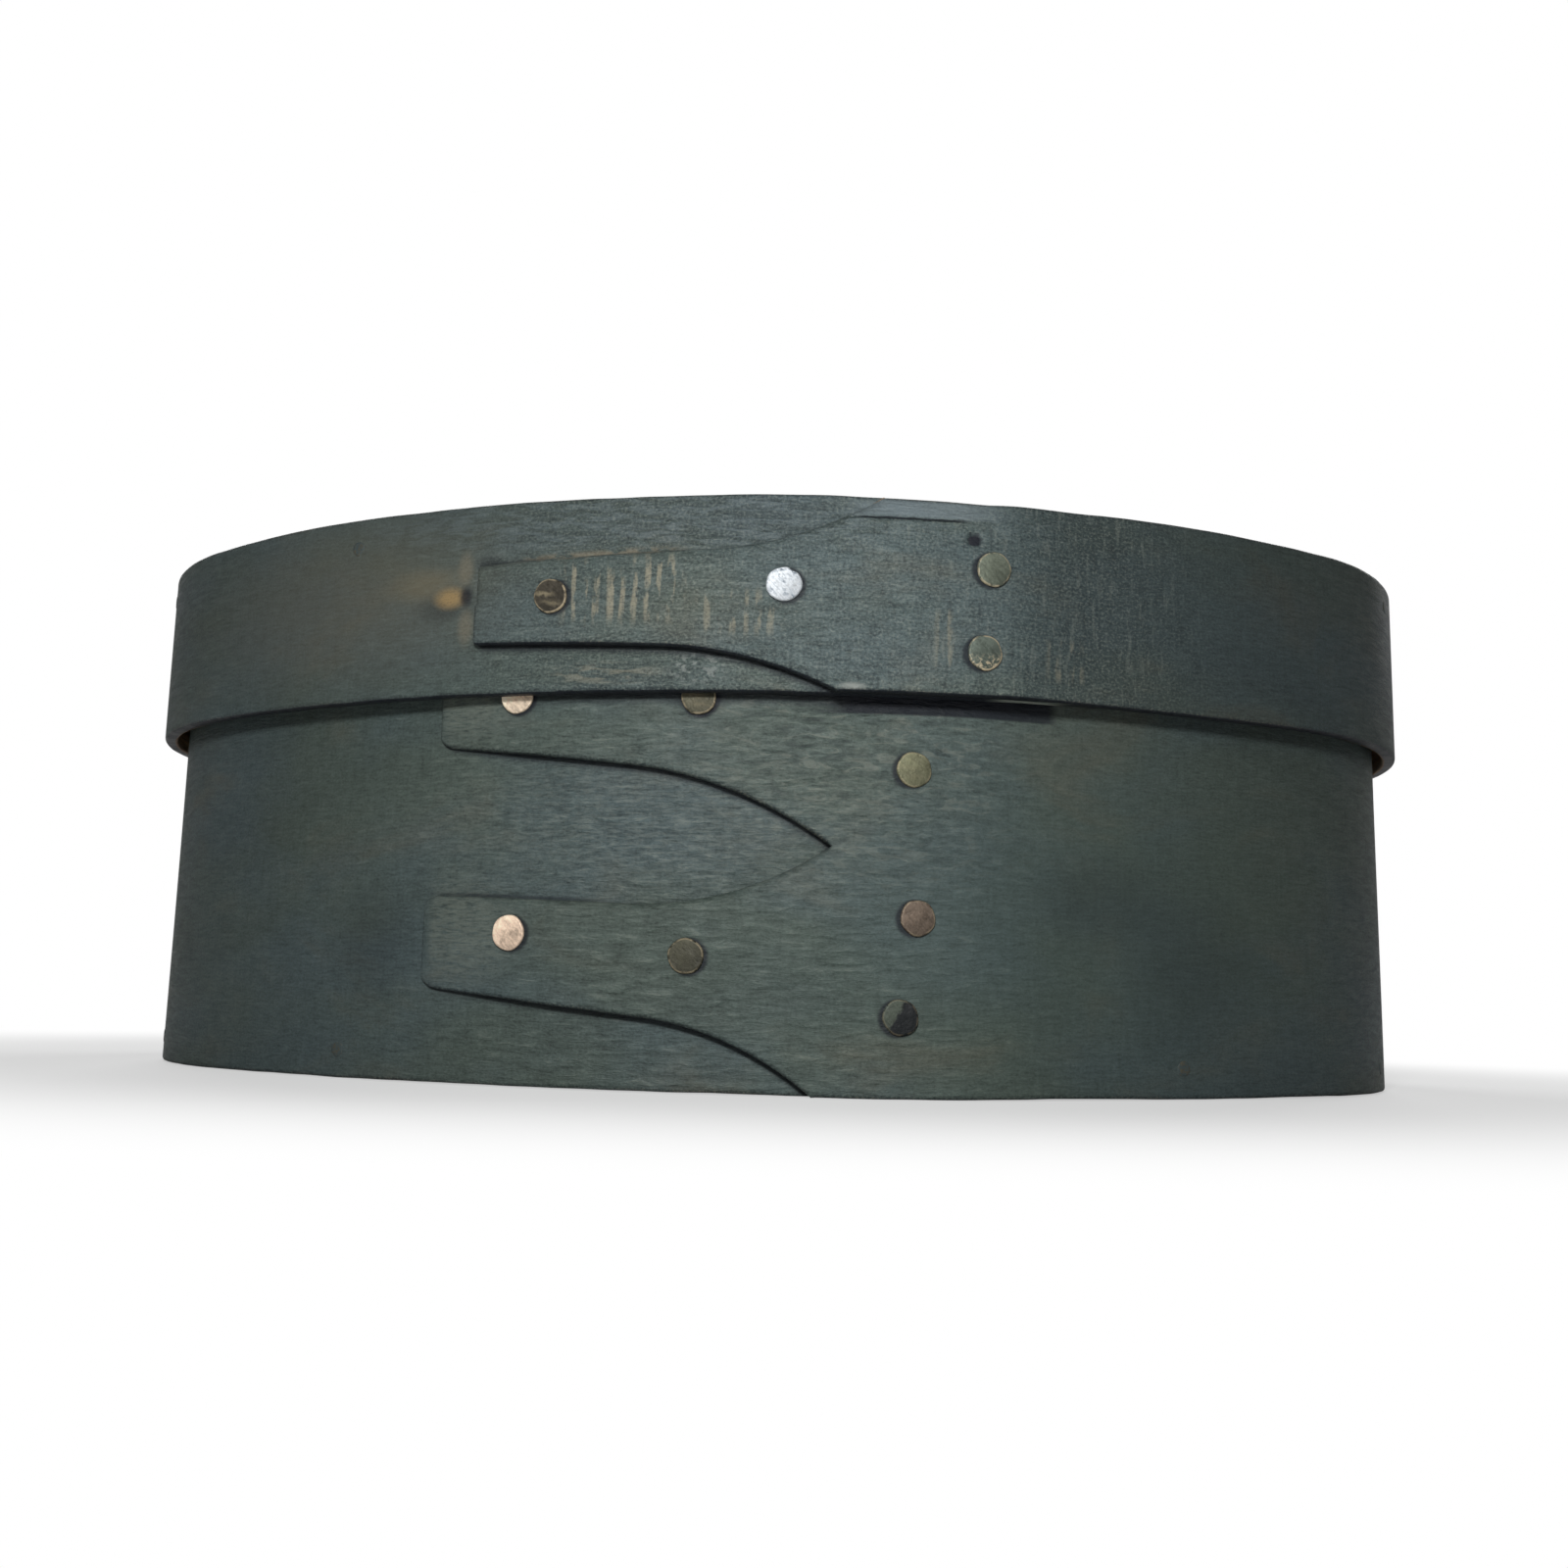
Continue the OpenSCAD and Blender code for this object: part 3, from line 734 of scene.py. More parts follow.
class Shader:
    """A material's nodes, made by short calls that give sockets."""

    def __init__(self, name):
        self.material = bpy.data.materials.new(name)
        self.material.use_nodes = True
        self.tree = self.material.node_tree
        self.tree.nodes.clear()

    def node(self, kind, inputs, output=0, **settings):
        made = self.tree.nodes.new("ShaderNode" + kind)
        for key, value in settings.items():
            setattr(made, key, value)
        for key, value in inputs.items():
            feed(self.tree, value, made.inputs[key])
        return made.outputs[output]

    def value(self, name):
        return self.node("Attribute", {}, "Fac", attribute_name=name)

    def vector(self, name):
        return self.node("Attribute", {}, "Vector", attribute_name=name)

    def at(self):
        """The point's place on the box, in millimetres."""
        return self.stretched(self.node("TexCoord", {}, "Object"), 1 / MM, 1 / MM, 1 / MM)

    def split(self, vector):
        return [self.node("SeparateXYZ", {0: vector}, axis) for axis in range(3)]

    def joined(self, x, y, z):
        return self.node("CombineXYZ", {0: x, 1: y, 2: z})

    def stretched(self, vector, x, y, z):
        return self.node("VectorMath", {0: vector, 1: (x, y, z)}, operation="MULTIPLY")

    def math(self, operation, *values):
        return self.node("Math", dict(enumerate(values)), operation=operation)

    def times(self, *values):
        product = values[0]
        for value in values[1:]:
            product = self.math("MULTIPLY", product, value)
        return product

    def plus(self, *values):
        total = values[0]
        for value in values[1:]:
            total = self.math("ADD", total, value)
        return total

    def minus(self, value, less):
        return self.math("SUBTRACT", value, less)

    def far(self, u, v):
        """How far (u, v) is from (0, 0)."""
        return self.math("SQRT", self.plus(self.times(u, u), self.times(v, v)))

    def noise(self, vector, detail=4.0, roughness=0.55, distortion=0.0):
        inputs = {"Vector": vector, "Scale": 1.0, "Detail": detail, "Roughness": roughness,
                  "Distortion": distortion}
        return self.node("TexNoise", inputs)

    def grained(self, along, across, **settings):
        """Noise at a scale along the grain and another across it."""
        return self.noise(self.stretched(self.vector("grain"), along, across, 1), **settings)

    def smooth(self, value, low, high, to_low=0.0, to_high=1.0):
        """A smooth step from to_low at low to to_high at high."""
        inputs = {"Value": value, "From Min": low, "From Max": high, "To Min": to_low, "To Max": to_high}
        return self.node("MapRange", inputs, interpolation_type="SMOOTHSTEP")

    def window(self, value, low, high, soft):
        """1 between low and high, and 0 outside, with soft ends."""
        begun = self.smooth(value, low - soft, low + soft)
        return self.times(begun, self.smooth(value, high + soft, high - soft))

    def openness(self, reach, own):
        """How open the surface is upwards, 1 to 0: what is close over it, of its own piece or of any."""
        facing = self.node("NewGeometry", {}, "Normal")
        upward = self.node("VectorMath", {0: facing, 1: (0.0, 0.0, 1.0)}, operation="ADD")
        upward = self.node("VectorMath", {0: upward}, operation="NORMALIZE")
        inputs = {"Distance": reach * MM, "Normal": upward}
        return self.node("AmbientOcclusion", inputs, "AO", only_local=own, samples=8)

    def mixed(self, factor, a, b):
        """Colour a where the factor is 0, and b where it is 1."""
        return self.node("Mix", {0: factor, 6: a, 7: b}, 2, data_type="RGBA")

    def lit(self, colour, value):
        """A colour made lighter or darker."""
        return self.node("HueSaturation", {"Value": value, "Color": colour})

    def finish(self, colour, roughness, bump, depth, specular, metallic=0.0):
        """Makes it a solid surface, raised by up to a depth in millimetres, and gives the material."""
        normal = self.node("Bump", {"Height": bump, "Strength": 1.0, "Distance": depth * MM})
        inputs = {"Base Color": colour, "Roughness": roughness, "Metallic": metallic, "Normal": normal,
                  "Specular IOR Level": specular}
        self.show(self.node("BsdfPrincipled", inputs))
        return self.material

    def show(self, surface):
        out = self.tree.nodes.new("ShaderNodeOutputMaterial")
        self.tree.links.new(surface, out.inputs["Surface"])


PAINT_BLUE = srgb(76, 89, 90)
PAINT_GREEN = srgb(77, 88, 82)
PAINT_BROWN = srgb(84, 82, 70)
# Dark paint, also used for painted shade in hollows
PAINT_DARK_AND_SHADE = srgb(34, 40, 44)
# Light worn paint, also laid on as a painted sheen on crests
PAINT_WORN_AND_SHEEN = srgb(134, 138, 128)
RUBBED = srgb(146, 141, 122)
BARE_EDGE = srgb(116, 104, 84)
# Dark grime, also used for painted shade and painted shadows
GRIME_AND_SHADE = srgb(23, 26, 34)
TACK_RUBBED = srgb(142, 132, 108)
TACK_RIM = srgb(196, 180, 150)
TACK_BLACK = srgb(18, 22, 24)
TACK_SCRATCH = srgb(120, 130, 140)
DULL_TOP = srgb(48, 56, 64)
WARM_STAIN = srgb(96, 92, 78)
GREEN_STAIN = srgb(64, 78, 70)
KNOT = srgb(148, 126, 88)
KNOT_HALO = srgb(120, 110, 86)
KNOT_RUB = srgb(118, 112, 96)
BLUISH = srgb(106, 118, 124)
CHIPPED = srgb(132, 123, 104)
PALE_RUB = srgb(128, 124, 108)
PALE_FLAKE = srgb(146, 152, 148)
PALE_CHIP = srgb(158, 162, 156)
# A painted highlight for the leaning lip above the crack
CRACK_LIP_HIGHLIGHT = srgb(130, 142, 148)
# Partly rubbed paint, partly painted light on the inner layer's end
LAYER_END_RUB_AND_LIGHT = srgb(140, 146, 136)
WORN_TIP = srgb(112, 118, 108)
PAINT_DEPTH, WOOD_DEPTH, PEG_DENTS, METAL_DENTS = 0.16, 0.14, 0.08, 0.1


class MilkPaint:
    """Thin old paint: fine weave, wrinkles along the grain with light crests, most of all in the middle,
    partly worn paint and partly a painted sheen, and stains.

    Its colour and height are changed mark by mark. Towards the front it darkens to the right, from an x and
    down to a level, and a little to the left, partly the paint's own tone and partly painted shade; just
    right of the middle of the front it is a little lighter, a painted sheen.
    """

    def __init__(self, name, dark_from=28, dark_level=0.82, front_worn=1.0):
        s = self.shader = Shader(name)
        x, y, z = self.x, self.y, self.z = s.split(s.at())
        front = self.front = s.smooth(y, -20, -30, 0, front_worn)
        wide = s.grained(0.028, 0.05, detail=3)
        stain = self.stain = s.grained(0.045, 0.09, detail=5, roughness=0.6, distortion=0.6)
        wrinkle = self.wrinkle = s.grained(0.3, 1.5, roughness=0.6, distortion=0.7)
        fine = self.fine = s.grained(0.7, 3.4, roughness=0.65, distortion=0.5)
        upright = self.upright = s.grained(1.5, 0.26, roughness=0.6, distortion=0.3)
        speck = self.speck = s.grained(3.2, 3.8, detail=3, roughness=0.7)
        middle = s.times(s.window(x, -30, 28, 17), front)

        colour = s.mixed(s.smooth(wide, 0.36, 0.64), PAINT_BLUE, PAINT_GREEN)
        colour = s.mixed(s.smooth(stain, 0.5, 0.78, 0, 0.6), colour, PAINT_BROWN)
        value = s.plus(-0.7, fine, s.times(speck, 1.3), s.times(upright, 0.5), s.times(stain, 0.6))
        value = s.plus(value, s.times(s.plus(wrinkle, -0.5), s.plus(0.35, s.times(middle, 0.9))))
        colour = s.lit(colour, value)
        # A little lighter just right of the middle of the front: a painted sheen
        painted_sheen = s.plus(1.0, s.times(s.window(x, 2, 26, 10), front, 0.1))
        # Darker to the right and a little to the left, towards the front: partly the paint's own tone, partly
        # painted shade
        right = s.smooth(x, dark_from, dark_from + 16, 1.0, dark_level)
        sides = s.times(right, s.smooth(x, 40, 64, 1.0, 0.9), s.smooth(x, -48, -22, 0.89, 1.0))
        sides = s.plus(1.0, s.times(s.plus(sides, -1.0), s.smooth(y, 0, -14)))
        self.colour = s.lit(colour, s.times(painted_sheen, sides))

        wrinkled = s.times(wrinkle, s.plus(0.5, s.times(middle, 1.2)))
        self.height = s.plus(wrinkled, s.times(fine, 0.5), s.times(speck, 0.3))
        self.roughness = s.smooth(wrinkle, 0.3, 0.7, 0.62, 0.48)
        # Light crests on the wrinkles, most in the middle: partly worn paint, partly a painted sheen
        lit_crests = s.times(s.smooth(wrinkle, 0.55, 0.7), s.smooth(fine, 0.42, 0.58))
        self.mark(s.times(lit_crests, s.plus(0.03, s.times(middle, 0.2))), PAINT_WORN_AND_SHEEN)

    def mark(self, mask, colour, height=0.0):
        """Lays a colour on where the mask is, and raises or lowers the surface there."""
        s = self.shader
        self.colour = s.mixed(mask, self.colour, colour)
        if height:
            self.height = s.plus(self.height, s.times(mask, height))

    def dab(self, colour, strength, *masks, height=0.0):
        """Lays a colour on at the front, where all the masks are."""
        self.mark(self.shader.times(*masks, self.front, strength), colour, height)

    def blob(self, at_x, at_z, wide, tall, soft):
        """1 in the middle of a soft ellipse, as seen from the front, and 0 outside it."""
        s = self.shader
        u = s.math("DIVIDE", s.minus(self.x, at_x), wide)
        v = s.math("DIVIDE", s.minus(self.z, at_z), tall)
        return s.smooth(s.far(u, v), 1.0 + soft / 2, 1.0 - soft / 2)

    def front_noise(self, across, seed, up, **settings):
        """Noise at a scale across the front and another up it."""
        s = self.shader
        return s.noise(s.joined(s.times(self.x, across), seed, s.times(self.z, up)), **settings)

    def dashes(self):
        """Short upright rub marks, as a scraper's chatter leaves them."""
        s = self.shader
        bent = s.times(self.front_noise(0.5, 0.0, 0.13, detail=1), 6.0)
        beat = s.math("SINE", s.plus(s.times(self.x, 5.0), bent))
        patch = self.front_noise(0.8, 5.0, 0.26, detail=3, roughness=0.6)
        specks = s.smooth(self.speck, 0.3, 0.55, 0.4, 1.0)
        return s.times(s.smooth(beat, -0.4, 0.6), s.smooth(patch, 0.43, 0.56), specks)

    def edge_wear_and_shade(self):
        """Paint gone from the edges, where hands and shelves have rubbed, patchy dirt along the edges, and
        painted shade where the surface is closed in from above.
        """
        s = self.shader
        edge = s.value("edge")
        rubbed = s.times(s.smooth(edge, 0.4, 0.05), s.smooth(self.speck, 0.48, 0.64))
        self.mark(s.times(rubbed, s.smooth(self.stain, 0.42, 0.62), 0.5), BARE_EDGE)
        self.mark(s.times(s.smooth(edge, 0.6, 0.0), s.smooth(self.speck, 0.62, 0.4), 0.6), GRIME_AND_SHADE)
        # Painted shade where the band's own surface is closed in from above, as under the fingers' edges
        self.mark(s.smooth(s.openness(1.25, True), 0.74, 0.4, 0, 0.88), GRIME_AND_SHADE)

    def tack_shade_rings(self, tacks):
        """A dark ring round each head, wider on the side towards the middle: painted shade of the gap under
        the head.
        """
        for at in tacks:
            towards = 0.3 if at.x < 14 else -0.3
            ring = self.blob(at.x + towards, at.z - 0.1, HEAD_R + 0.12, HEAD_R + 0.12, 0.24)
            self.dab(GRIME_AND_SHADE, 0.85, ring)

    def finish(self, specular=0.25):
        return self.shader.finish(self.colour, self.roughness, self.height, PAINT_DEPTH, specular=specular)


def lid_band_paint():
    """The paint of the lid's band, with the marks that its front has."""
    paint = MilkPaint("lid_band_paint", dark_from=22, dark_level=0.64)
    s, x, z = paint.shader, paint.x, paint.z
    dab, blob = paint.dab, paint.blob
    dab(DULL_TOP, 0.24, s.window(x, -38, 8, 8), s.smooth(z, 52.5, 56.5))
    # A warm stain on the left, and a knot beside the finger's tip
    dab(WARM_STAIN, 0.42, blob(-43, 51, 17, 8, 1.5))
    dab(GRIME_AND_SHADE, 0.4, blob(-31.4, 49.0, 2.8, 1.4, 1.4))
    specks = s.smooth(paint.speck, 0.2, 0.6, 0.6, 1.0)
    for at_x, at_z, tall in ((-29.0, 53.0, 1.6), (-28.7, 46.8, 1.7)):
        dab(KNOT_RUB, 0.6, blob(at_x, at_z, 0.8, tall, 1.2), specks)
    dab(KNOT_HALO, 0.35, blob(-33.5, 51.6, 3.6, 1.5, 1.5))
    specks = s.smooth(paint.speck, 0.3, 0.5, 0.5, 1.0)
    dab(KNOT, 1.0, blob(-30.6, 50.0, 1.5, 0.95, 1.4), specks)
    dab(GRIME_AND_SHADE, 0.85, blob(-28.8, 50.1, 0.65, 1.0, 1.2))
    # A bluish light patch along the top, partly worn paint and partly a painted sheen, chips along the
    # finger's upper edge, and painted shade along the left of that edge and at its corner
    dab(BLUISH, 0.3, blob(-4, 57.6, 30, 3.4, 0.9), s.smooth(paint.wrinkle, 0.42, 0.62))
    rise = s.minus(z, s.times(x, 0.035))
    patchy = s.smooth(paint.front_noise(0.5, 3.0, 0.9, detail=2), 0.4, 0.54)
    dab(CHIPPED, 0.75, s.window(x, -22, -7, 3), s.window(rise, 53.8, 54.6, 0.35), patchy)
    dab(GRIME_AND_SHADE, 0.55, s.window(x, -27, -19.5, 1.5), s.window(rise, 54.0, 54.4, 0.3))
    dab(GRIME_AND_SHADE, 0.45, blob(-26.2, 53.4, 1.5, 0.8, 1.2))
    # Pale rubbed places under the finger
    dab(PALE_RUB, 0.5, blob(-13.5, 41.4, 5, 1.0, 1.2), s.smooth(paint.wrinkle, 0.46, 0.6))
    flakes = s.smooth(paint.front_noise(1.0, 9.0, 1.5, detail=2), 0.52, 0.6)
    dab(PALE_FLAKE, 0.5, blob(-3.7, 42.0, 2.8, 1.5, 1.2), flakes)
    # Upright streaks on the right, and specks over most of the front, light and dark
    streaky, rough = s.window(x, 8, 46, 6), s.window(x, -24, 44, 10)
    dab(PAINT_WORN_AND_SHEEN, 0.24, streaky, s.smooth(paint.upright, 0.54, 0.72))
    dab(PAINT_DARK_AND_SHADE, 0.24, streaky, s.smooth(paint.upright, 0.46, 0.3))
    dab(PAINT_WORN_AND_SHEEN, 0.4, rough, s.smooth(paint.speck, 0.5, 0.7))
    dab(PAINT_DARK_AND_SHADE, 0.44, rough, s.smooth(paint.speck, 0.5, 0.32))
    # Upright rub marks in four places
    marks = paint.dashes()
    for left, right, low, high, soft, strength in (
            (-17.5, -5.5, 46.6, 52.8, 1.2, 0.8), (-3.5, 4.3, 45.2, 49.2, 0.9, 0.6),
            (19.8, 21.6, 42.2, 47.8, 0.6, 0.45), (31.2, 34.8, 41.8, 45.8, 0.7, 0.45)):
        zone = s.times(s.window(x, left, right, soft), s.window(z, low, high, soft))
        dab(RUBBED, strength, zone, marks, height=0.12)
    # A crack along the grain with a painted highlight on the lip above it, which leans back, and a chip at
    # the rim below
    wavy = s.plus(z, s.times(paint.fine, 0.35))
    crack = s.times(s.window(wavy, 57.28, 57.46, 0.1), s.window(x, 11.8, 22.6, 1.2))
    dab(GRIME_AND_SHADE, 1.0, crack, height=-1.5)
    dab(CRACK_LIP_HIGHLIGHT, 0.5, s.window(wavy, 57.6, 59.6, 0.3), s.window(x, 12, 25, 3))
    dab(PALE_CHIP, 0.65, blob(11.6, LID_LOW + 0.5, 1.1, 0.35, 1.4))
    paint.edge_wear_and_shade()
    paint.tack_shade_rings(LID_TACKS)
    # Painted shade in the hole of the peg that has sunk
    dab(GRIME_AND_SHADE, 0.9, blob(*SUNK_HOLE, 0.62, 0.6, 0.7))
    # Painted shade on the rim's underside, which faces down, but for the inner layer near its end, which has
    # a light mark, partly rubbed paint and partly painted light
    down = s.smooth(s.split(s.node("NewGeometry", {}, "True Normal"))[2], -0.5, -0.8)
    paint.mark(s.times(down, 0.85), GRIME_AND_SHADE)
    far = s.far(x, s.minus(paint.y, LID.arc_y + LID.shift))
    within = s.smooth(far, LID.long_r + 0.1, LID.long_r - 0.1)
    dab(LAYER_END_RUB_AND_LIGHT, 0.85, down, within, s.window(x, 26, 32.5, 1.5))
    return paint.finish()


def body_band_paint():
    """The paint of the body's band, with the marks that its front has."""
    paint = MilkPaint("body_band_paint")
    s, x, z = paint.shader, paint.x, paint.z
    dab, blob = paint.dab, paint.blob
    dab(GREEN_STAIN, 0.35, blob(30, 16, 26, 14, 1.4))
    dab(PAINT_WORN_AND_SHEEN, 0.2, blob(-6, 27, 22, 8, 1.4), s.smooth(paint.fine, 0.44, 0.62))
    for at_z, tall in ((15.5, 5), (39.5, 4)):
        tip = s.times(blob(-28.5, at_z, 5.5, tall, 1.2), s.smooth(x, -32.6, -31.2))
        dab(WORN_TIP, 0.5, tip, s.smooth(paint.fine, 0.3, 0.6))
    # Crinkled paint, lighter on its raised crests and darker in its hollows: painted highlight and painted
    # shade
    creased = blob(12, 36, 15, 13, 1.5)
    crease = s.grained(0.32, 0.95, detail=3, roughness=0.5, distortion=1.6)
    dab(PAINT_WORN_AND_SHEEN, 0.34, creased, s.smooth(crease, 0.52, 0.68), height=0.5)
    dab(PAINT_DARK_AND_SHADE, 0.34, creased, s.smooth(crease, 0.47, 0.34), height=-0.5)
    for *ellipse, strength in ((-39, 14, 4, 5, 0.3), (37, 20, 6, 4, 0.3), (47, 14, 6, 7, 0.25)):
        dab(PAINT_DARK_AND_SHADE, strength, blob(*ellipse, 1.4))
    # Dirt along the lower finger's upper edge, near its tip
    rise = s.plus(z, s.times(x, 0.035))
    dab(GRIME_AND_SHADE, 0.75, s.window(rise, 18.15, 18.5, 0.25), s.window(x, -30.5, -15, 4))
    paint.edge_wear_and_shade()
    # Painted shadow of the lid's rim on the body, and as dark a painted shadow under its lap, which hangs out
    # further
    lid_rim_shadow = s.smooth(s.openness(1.8, False), 0.84, 0.54, 0, 0.9)
    lapped = s.plus(0.5, s.times(s.window(x, -20, 54, 6), paint.front, 0.5))
    paint.mark(s.times(lid_rim_shadow, lapped, s.smooth(z, 34, 36)), GRIME_AND_SHADE)
    lap_shadow = s.smooth(s.openness(3.4, False), 0.97, 0.82, 0, 0.93)
    across = s.times(s.smooth(x, 6, 12), s.smooth(x, 33, 31.5))
    dab(GRIME_AND_SHADE, 1.0, lap_shadow, across, s.smooth(z, LID_LOW - 1.6, LID_LOW - 1.3))
    paint.tack_shade_rings(BODY_TACKS)
    return paint.finish()


def lid_board_paint():
    """The paint of the lid's top, which has no front and is quite matt."""
    paint = MilkPaint("lid_board_paint", front_worn=0.0)
    paint.edge_wear_and_shade()
    return paint.finish(specular=0.0)


def bare_wood(name, light, dark, smeared):
    """Old unpainted wood: growth lines, darker streaks, grime, and on some faces smears of the paint."""
    s = Shader(name)
    lines = s.grained(0.02, 0.9, detail=5, roughness=0.6, distortion=0.8)
    pores = s.grained(0.35, 5.0, roughness=0.6)
    stain = s.grained(0.03, 0.05, roughness=0.6, distortion=0.4)
    colour = s.mixed(s.smooth(lines, 0.35, 0.65), light, dark)
    colour = s.lit(colour, s.plus(0.4, s.times(pores, 0.6), s.times(stain, 0.6)))
    colour = s.mixed(s.smooth(stain, 0.55, 0.8, 0, 0.5), colour, GRIME_AND_SHADE)
    smear = s.times(s.smooth(stain, 0.6, 0.34), s.smooth(pores, 0.36, 0.6), smeared)
    colour = s.mixed(smear, colour, PAINT_BLUE)
    edge = s.smooth(s.value("edge"), 1.2, 0.1, 0, 0.5)
    colour = s.mixed(edge, colour, GRIME_AND_SHADE)
    height = s.plus(s.times(lines, 0.6), s.times(pores, 0.5))
    return s.finish(colour, s.smooth(pores, 0.3, 0.7, 0.6, 0.75), height, WOOD_DEPTH, specular=0.3)


def peg_wood():
    """Painted end grain, and plain dark on the peg that has sunk: painted shade of its hole."""
    s = Shader("peg_wood")
    rings = s.noise(s.stretched(s.at(), 3.0, 3.0, 3.0), detail=3, roughness=0.6)
    colour = s.mixed(s.smooth(rings, 0.4, 0.66), PAINT_BLUE, PAINT_BROWN)
    colour = s.lit(colour, s.plus(0.45, s.times(rings, 0.7)))
    # The sunk peg's end made dark: painted shade of its hole
    colour = s.mixed(s.value("sunk"), colour, GRIME_AND_SHADE)
    return s.finish(colour, s.smooth(rings, 0.3, 0.7, 0.55, 0.7), rings, PEG_DENTS, specular=0.3)


def tack_metal():
    """Hammered copper in the tone of each tack, with rubbed lines, a rubbed rim, painted shading from a
    lighter upper left to a darker lower right, and a painted dark reflection on the lower right of some
    heads.
    """
    s = Shader("tack_metal")
    at = s.at()
    x, _, z = s.split(at)
    u, v, _ = s.split(s.vector("grain"))
    mottle = s.noise(s.stretched(at, 1.1, 1.1, 1.1), roughness=0.65)
    pits = s.noise(s.stretched(at, 3.4, 3.4, 3.4), detail=3, roughness=0.65)
    slanting = s.joined(s.times(s.plus(x, z), 2.6), 0.0, s.times(s.minus(x, z), 0.6))
    slant = s.noise(slanting, detail=3)
    # Painted shading: each head lighter to its upper left and darker to its lower right
    shade = s.smooth(s.plus(s.times(u, 0.5), s.times(v, -0.5), s.times(mottle, 0.8)), -0.4, 1.2, 1.3, 0.7)
    value = s.times(shade, s.plus(-0.8, s.times(mottle, 1.6), pits, s.times(slant, 1.1)))
    colour = s.lit(s.vector("tone"), value)
    wavy = s.plus(v, s.times(s.plus(mottle, -0.5), 0.7), s.times(u, 0.1))
    bars = s.plus(s.times(s.window(wavy, 0.0, 0.14, 0.12), s.window(u, -0.9, 0.1, 0.4)),
                  s.times(s.window(wavy, -0.46, -0.32, 0.14), s.window(u, -0.4, 0.6, 0.4), 0.7))
    colour = s.mixed(s.times(bars, s.value("streaks")), colour, TACK_RUBBED)
    bright = s.smooth(s.value("rim"), 0.85, 0.95, 0, 0.7)
    rubs = s.times(s.smooth(pits, 0.5, 0.64), s.smooth(v, 0.1, -0.6), bright)
    colour = s.mixed(rubs, colour, TACK_RIM)
    scratches = s.plus(s.smooth(slant, 0.52, 0.6), s.smooth(mottle, 0.54, 0.6))
    colour = s.mixed(s.times(scratches, s.value("scratched"), 0.55), colour, TACK_SCRATCH)
    # A painted dark reflection: the lower right side of a head made black, as much as its value asks
    side = s.plus(s.times(u, 0.8), s.times(v, -0.5), s.times(mottle, 0.8))
    black = s.times(s.smooth(side, 0.16, 0.32), s.value("patina"))
    colour = s.mixed(black, colour, TACK_BLACK)
    rim = s.times(s.smooth(s.value("edge"), 0.24, 0.1), s.smooth(mottle, 0.4, 0.56), s.value("rim"))
    colour = s.mixed(s.times(rim, 0.8), colour, TACK_RIM)
    metallic = s.times(s.value("metal"), s.minus(1.0, black))
    roughness = s.smooth(mottle, 0.3, 0.7, 0.42, 0.62)
    height = s.plus(s.times(mottle, 0.9), s.times(pits, 0.35), s.times(slant, 0.3))
    return s.finish(colour, roughness, height, METAL_DENTS, metallic=metallic, specular=0.2)


LID_BAND_PAINT = lid_band_paint()
BODY_BAND_PAINT = body_band_paint()
LID_BOARD_PAINT = lid_board_paint()
BAND_WOOD = bare_wood("band_wood", srgb(176, 140, 98), srgb(146, 108, 70), smeared=0.12)
BOARD_WOOD = bare_wood("board_wood", srgb(186, 150, 104), srgb(150, 110, 70), smeared=0.1)
UNDERSIDE_WOOD = bare_wood("underside_wood", srgb(150, 120, 84), srgb(116, 86, 58), smeared=0.4)
PEG_WOOD = peg_wood()
TACK_METAL = tack_metal()


# -------- the box
SEED = 1830


def make_box():
    """All pieces, each in its body and in the place of its CAD node."""
    rng = random.Random(SEED)
    body = band("body_band_wood", BODY_LAP, [BODY_BAND_PAINT, BAND_WOOD])
    stands_for(body, "body_band", "box")
    lid = band("lid_band_wood", LID_LAP, [LID_BAND_PAINT, BAND_WOOD])
    stands_for(lid, "lid_band", "lid")
    bottom = board("bottom_board_wood", BODY, BOTTOM_LOW, BOTTOM_HIGH, [BOARD_WOOD, UNDERSIDE_WOOD],
                   worn=0.1, seed=2.0)
    stands_for(bottom, "bottom_board", "box")
    top = board("lid_board_wood", LID, BOARD_LOW, BOARD_HIGH, [LID_BOARD_PAINT, BOARD_WOOD],
                worn=0.12, seed=5.0)
    stands_for(top, "lid_board", "lid")
    for group, tacks, lap, side in (("body", BODY_TACKS, BODY_LAP, "box"),
                                    ("lid", LID_TACKS, LID_LAP, "lid")):
        for number, tack_at in enumerate(tacks, 1):
            piece = tack(f"{group}_tack_{number}_metal", tack_at, lap, rng)
            stands_for(piece, f"{group}_tack_{number}", side)
    for group, pegs, oval, low, side in (("bottom", BOTTOM_PEGS, BODY, BOTTOM_LOW, "box"),
                                         ("lid", LID_PEGS, LID, BOARD_LOW, "lid")):
        for number, place in enumerate(pegs, 1):
            spot = Spot(oval, place.bearing, low + place.height, place.layers * LAYER)
            piece = peg(f"{group}_peg_{number}_wood", place, spot, rng)
            stands_for(piece, f"{group}_peg_{number}", side)


make_box()


# -------- floor, light and background
WHITE = (1, 1, 1, 1)
FLOOR_HALF = 4000
FLOOR_LIGHT, FLOOR_DARK = (0.84, 0.84, 0.83, 1), (0.8, 0.8, 0.8, 1)
WHITE_FROM, WHITE_TO = 55, 110
FILL_LEVEL = 0.03
MIRRORED_LEVEL = 0.35
LIT_SPOT = Vector((0, 0, 0.03))
# Each lamp's name, place and size in metres, and power in watts
LAMPS = (("key", (0.0, -0.19, 0.07), 0.02, 0.175),
         ("back_left", (-0.28, 0.44, 0.36), 0.3, 1.7),
         ("back_right", (0.28, 0.44, 0.36), 0.3, 1.7))


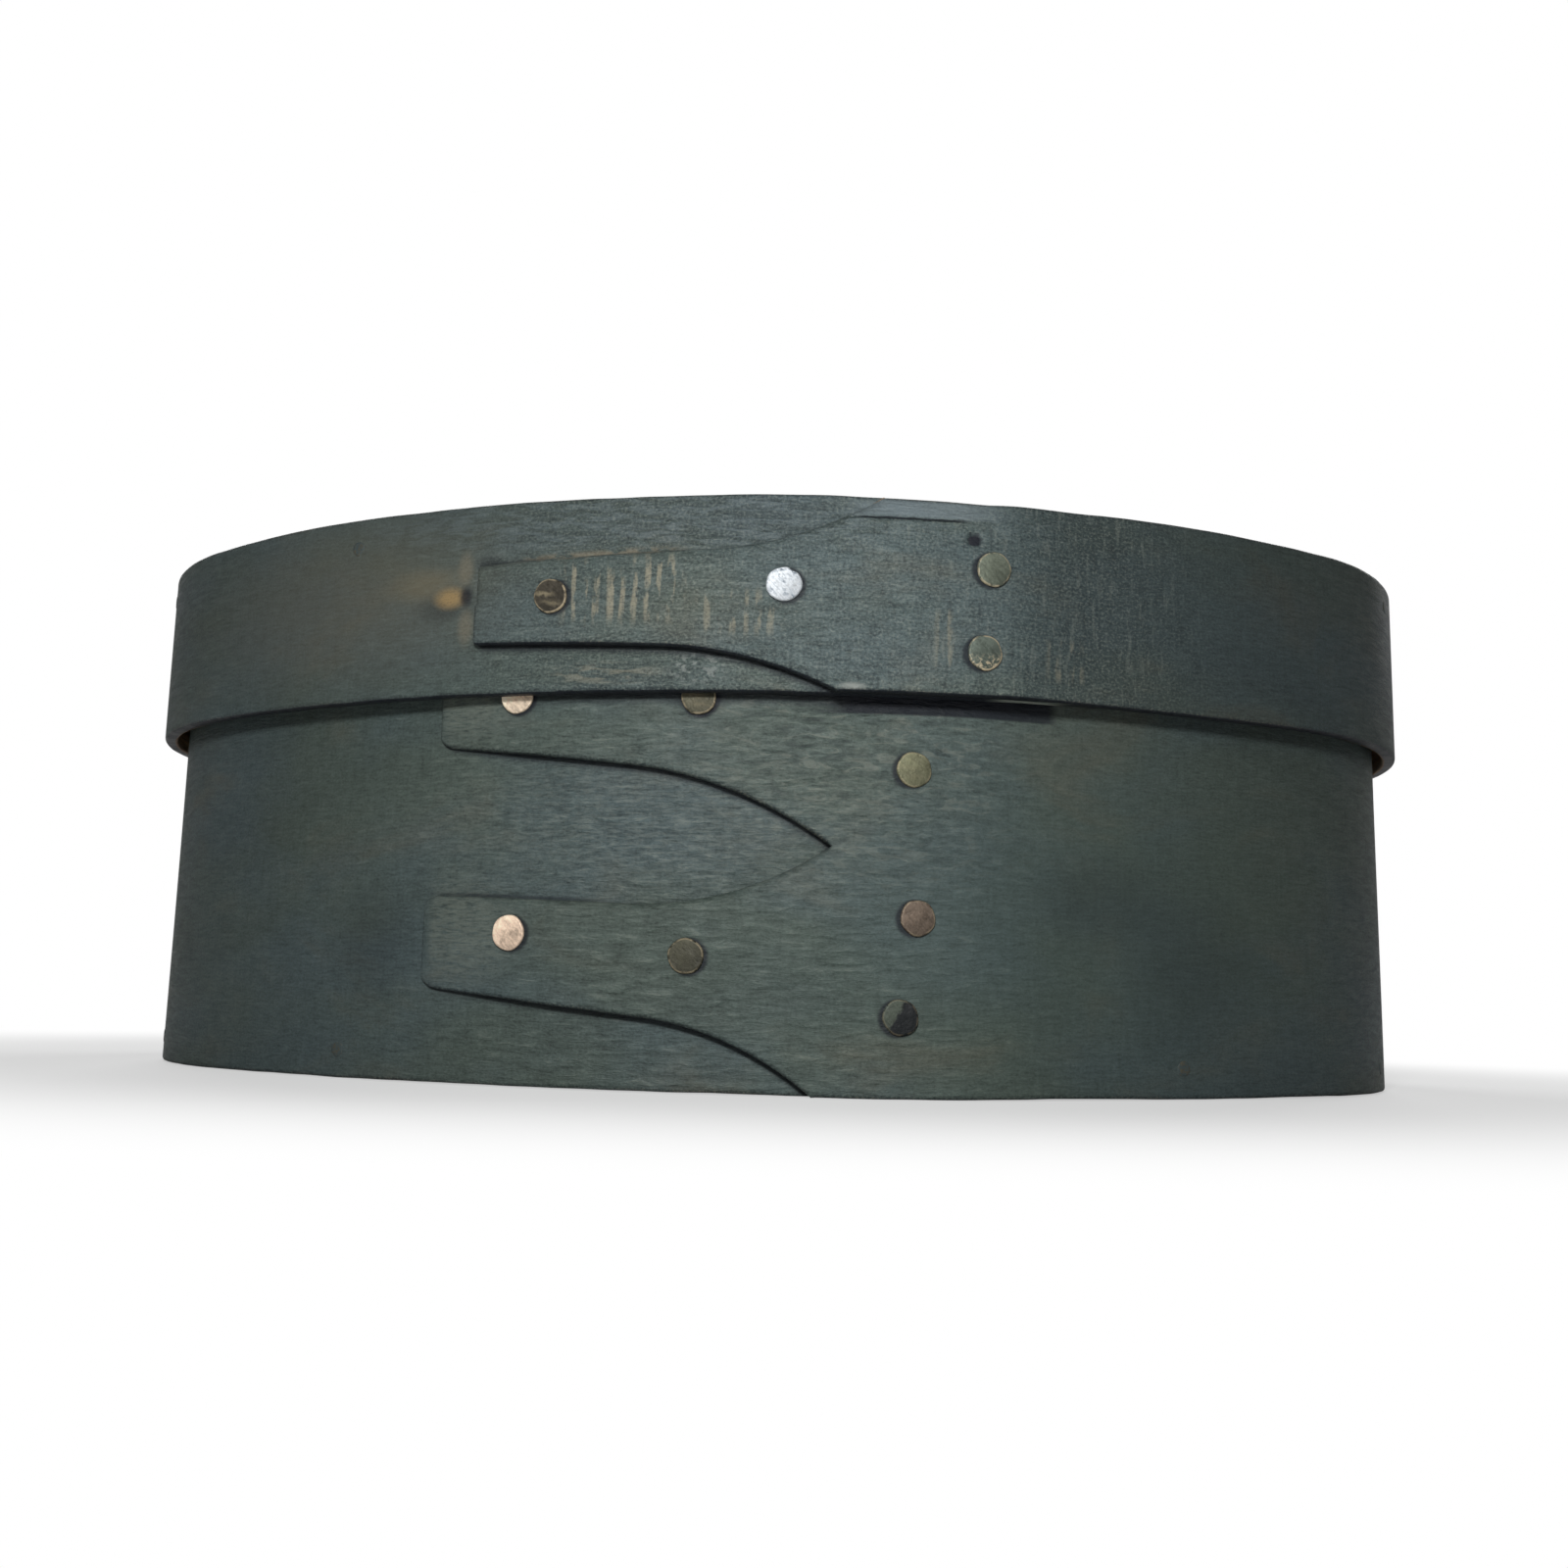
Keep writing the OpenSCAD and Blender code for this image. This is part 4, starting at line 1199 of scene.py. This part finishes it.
def lamp(name, at, size, power):
    """A square soft lamp that looks at the middle of the box."""
    data = bpy.data.lights.new(name, "AREA")
    data.size = size
    data.energy = power
    made = add_object(name, data)
    made.location = at
    made.rotation_euler = (LIT_SPOT - Vector(at)).to_track_quat("-Z", "Y").to_euler()


def background_rays(tree):
    """1 for rays that only show the background, and 0 for rays that light the object."""
    return tree.nodes.new("ShaderNodeLightPath").outputs["Is Camera Ray"]


def make_floor():
    """A pale floor that keeps the box's shadow and runs into the white background further out."""
    points = Points()
    corners = ((-1, -1), (1, -1), (1, 1), (-1, 1))
    ring = points.ring([(x * FLOOR_HALF, y * FLOOR_HALF, 0) for x, y in corners])
    s = Shader("floor")
    x, y, _ = s.split(s.at())
    far = s.far(s.times(x, 0.6), y)
    white = s.times(s.smooth(far, WHITE_FROM, WHITE_TO, 0.5, 1.0), background_rays(s.tree))
    tooth = s.noise(s.joined(s.times(x, 0.4), s.times(y, 0.4), 0.0), detail=3)
    lit = s.node("BsdfDiffuse", {"Color": s.mixed(tooth, FLOOR_DARK, FLOOR_LIGHT)})
    glow = s.node("Emission", {"Color": WHITE, "Strength": 1.0})
    s.show(s.node("MixShader", {0: white, 1: lit, 2: glow}))
    make_piece("floor", points, [tuple(ring)], [s.material])


def make_world():
    """White where it is seen, grey where it is mirrored, and a dim plain fill for the light on the box."""
    world = bpy.data.worlds.new("world")
    bpy.context.scene.world = world
    world.use_nodes = True
    tree = world.node_tree
    path = tree.nodes.new("ShaderNodeLightPath")
    level = FILL_LEVEL
    for ray, full in (("Is Glossy Ray", MIRRORED_LEVEL), ("Is Camera Ray", 1.0)):
        mix = tree.nodes.new("ShaderNodeMix")
        for key, value in (("Factor", path.outputs[ray]), ("A", level), ("B", full)):
            feed(tree, value, mix.inputs[key])
        level = mix.outputs["Result"]
    feed(tree, level, tree.nodes["Background"].inputs["Strength"])
    tree.nodes["Background"].inputs["Color"].default_value = WHITE


make_floor()
make_world()
for settings in LAMPS:
    lamp(*settings)

bpy.context.scene.view_settings.view_transform = "Standard"
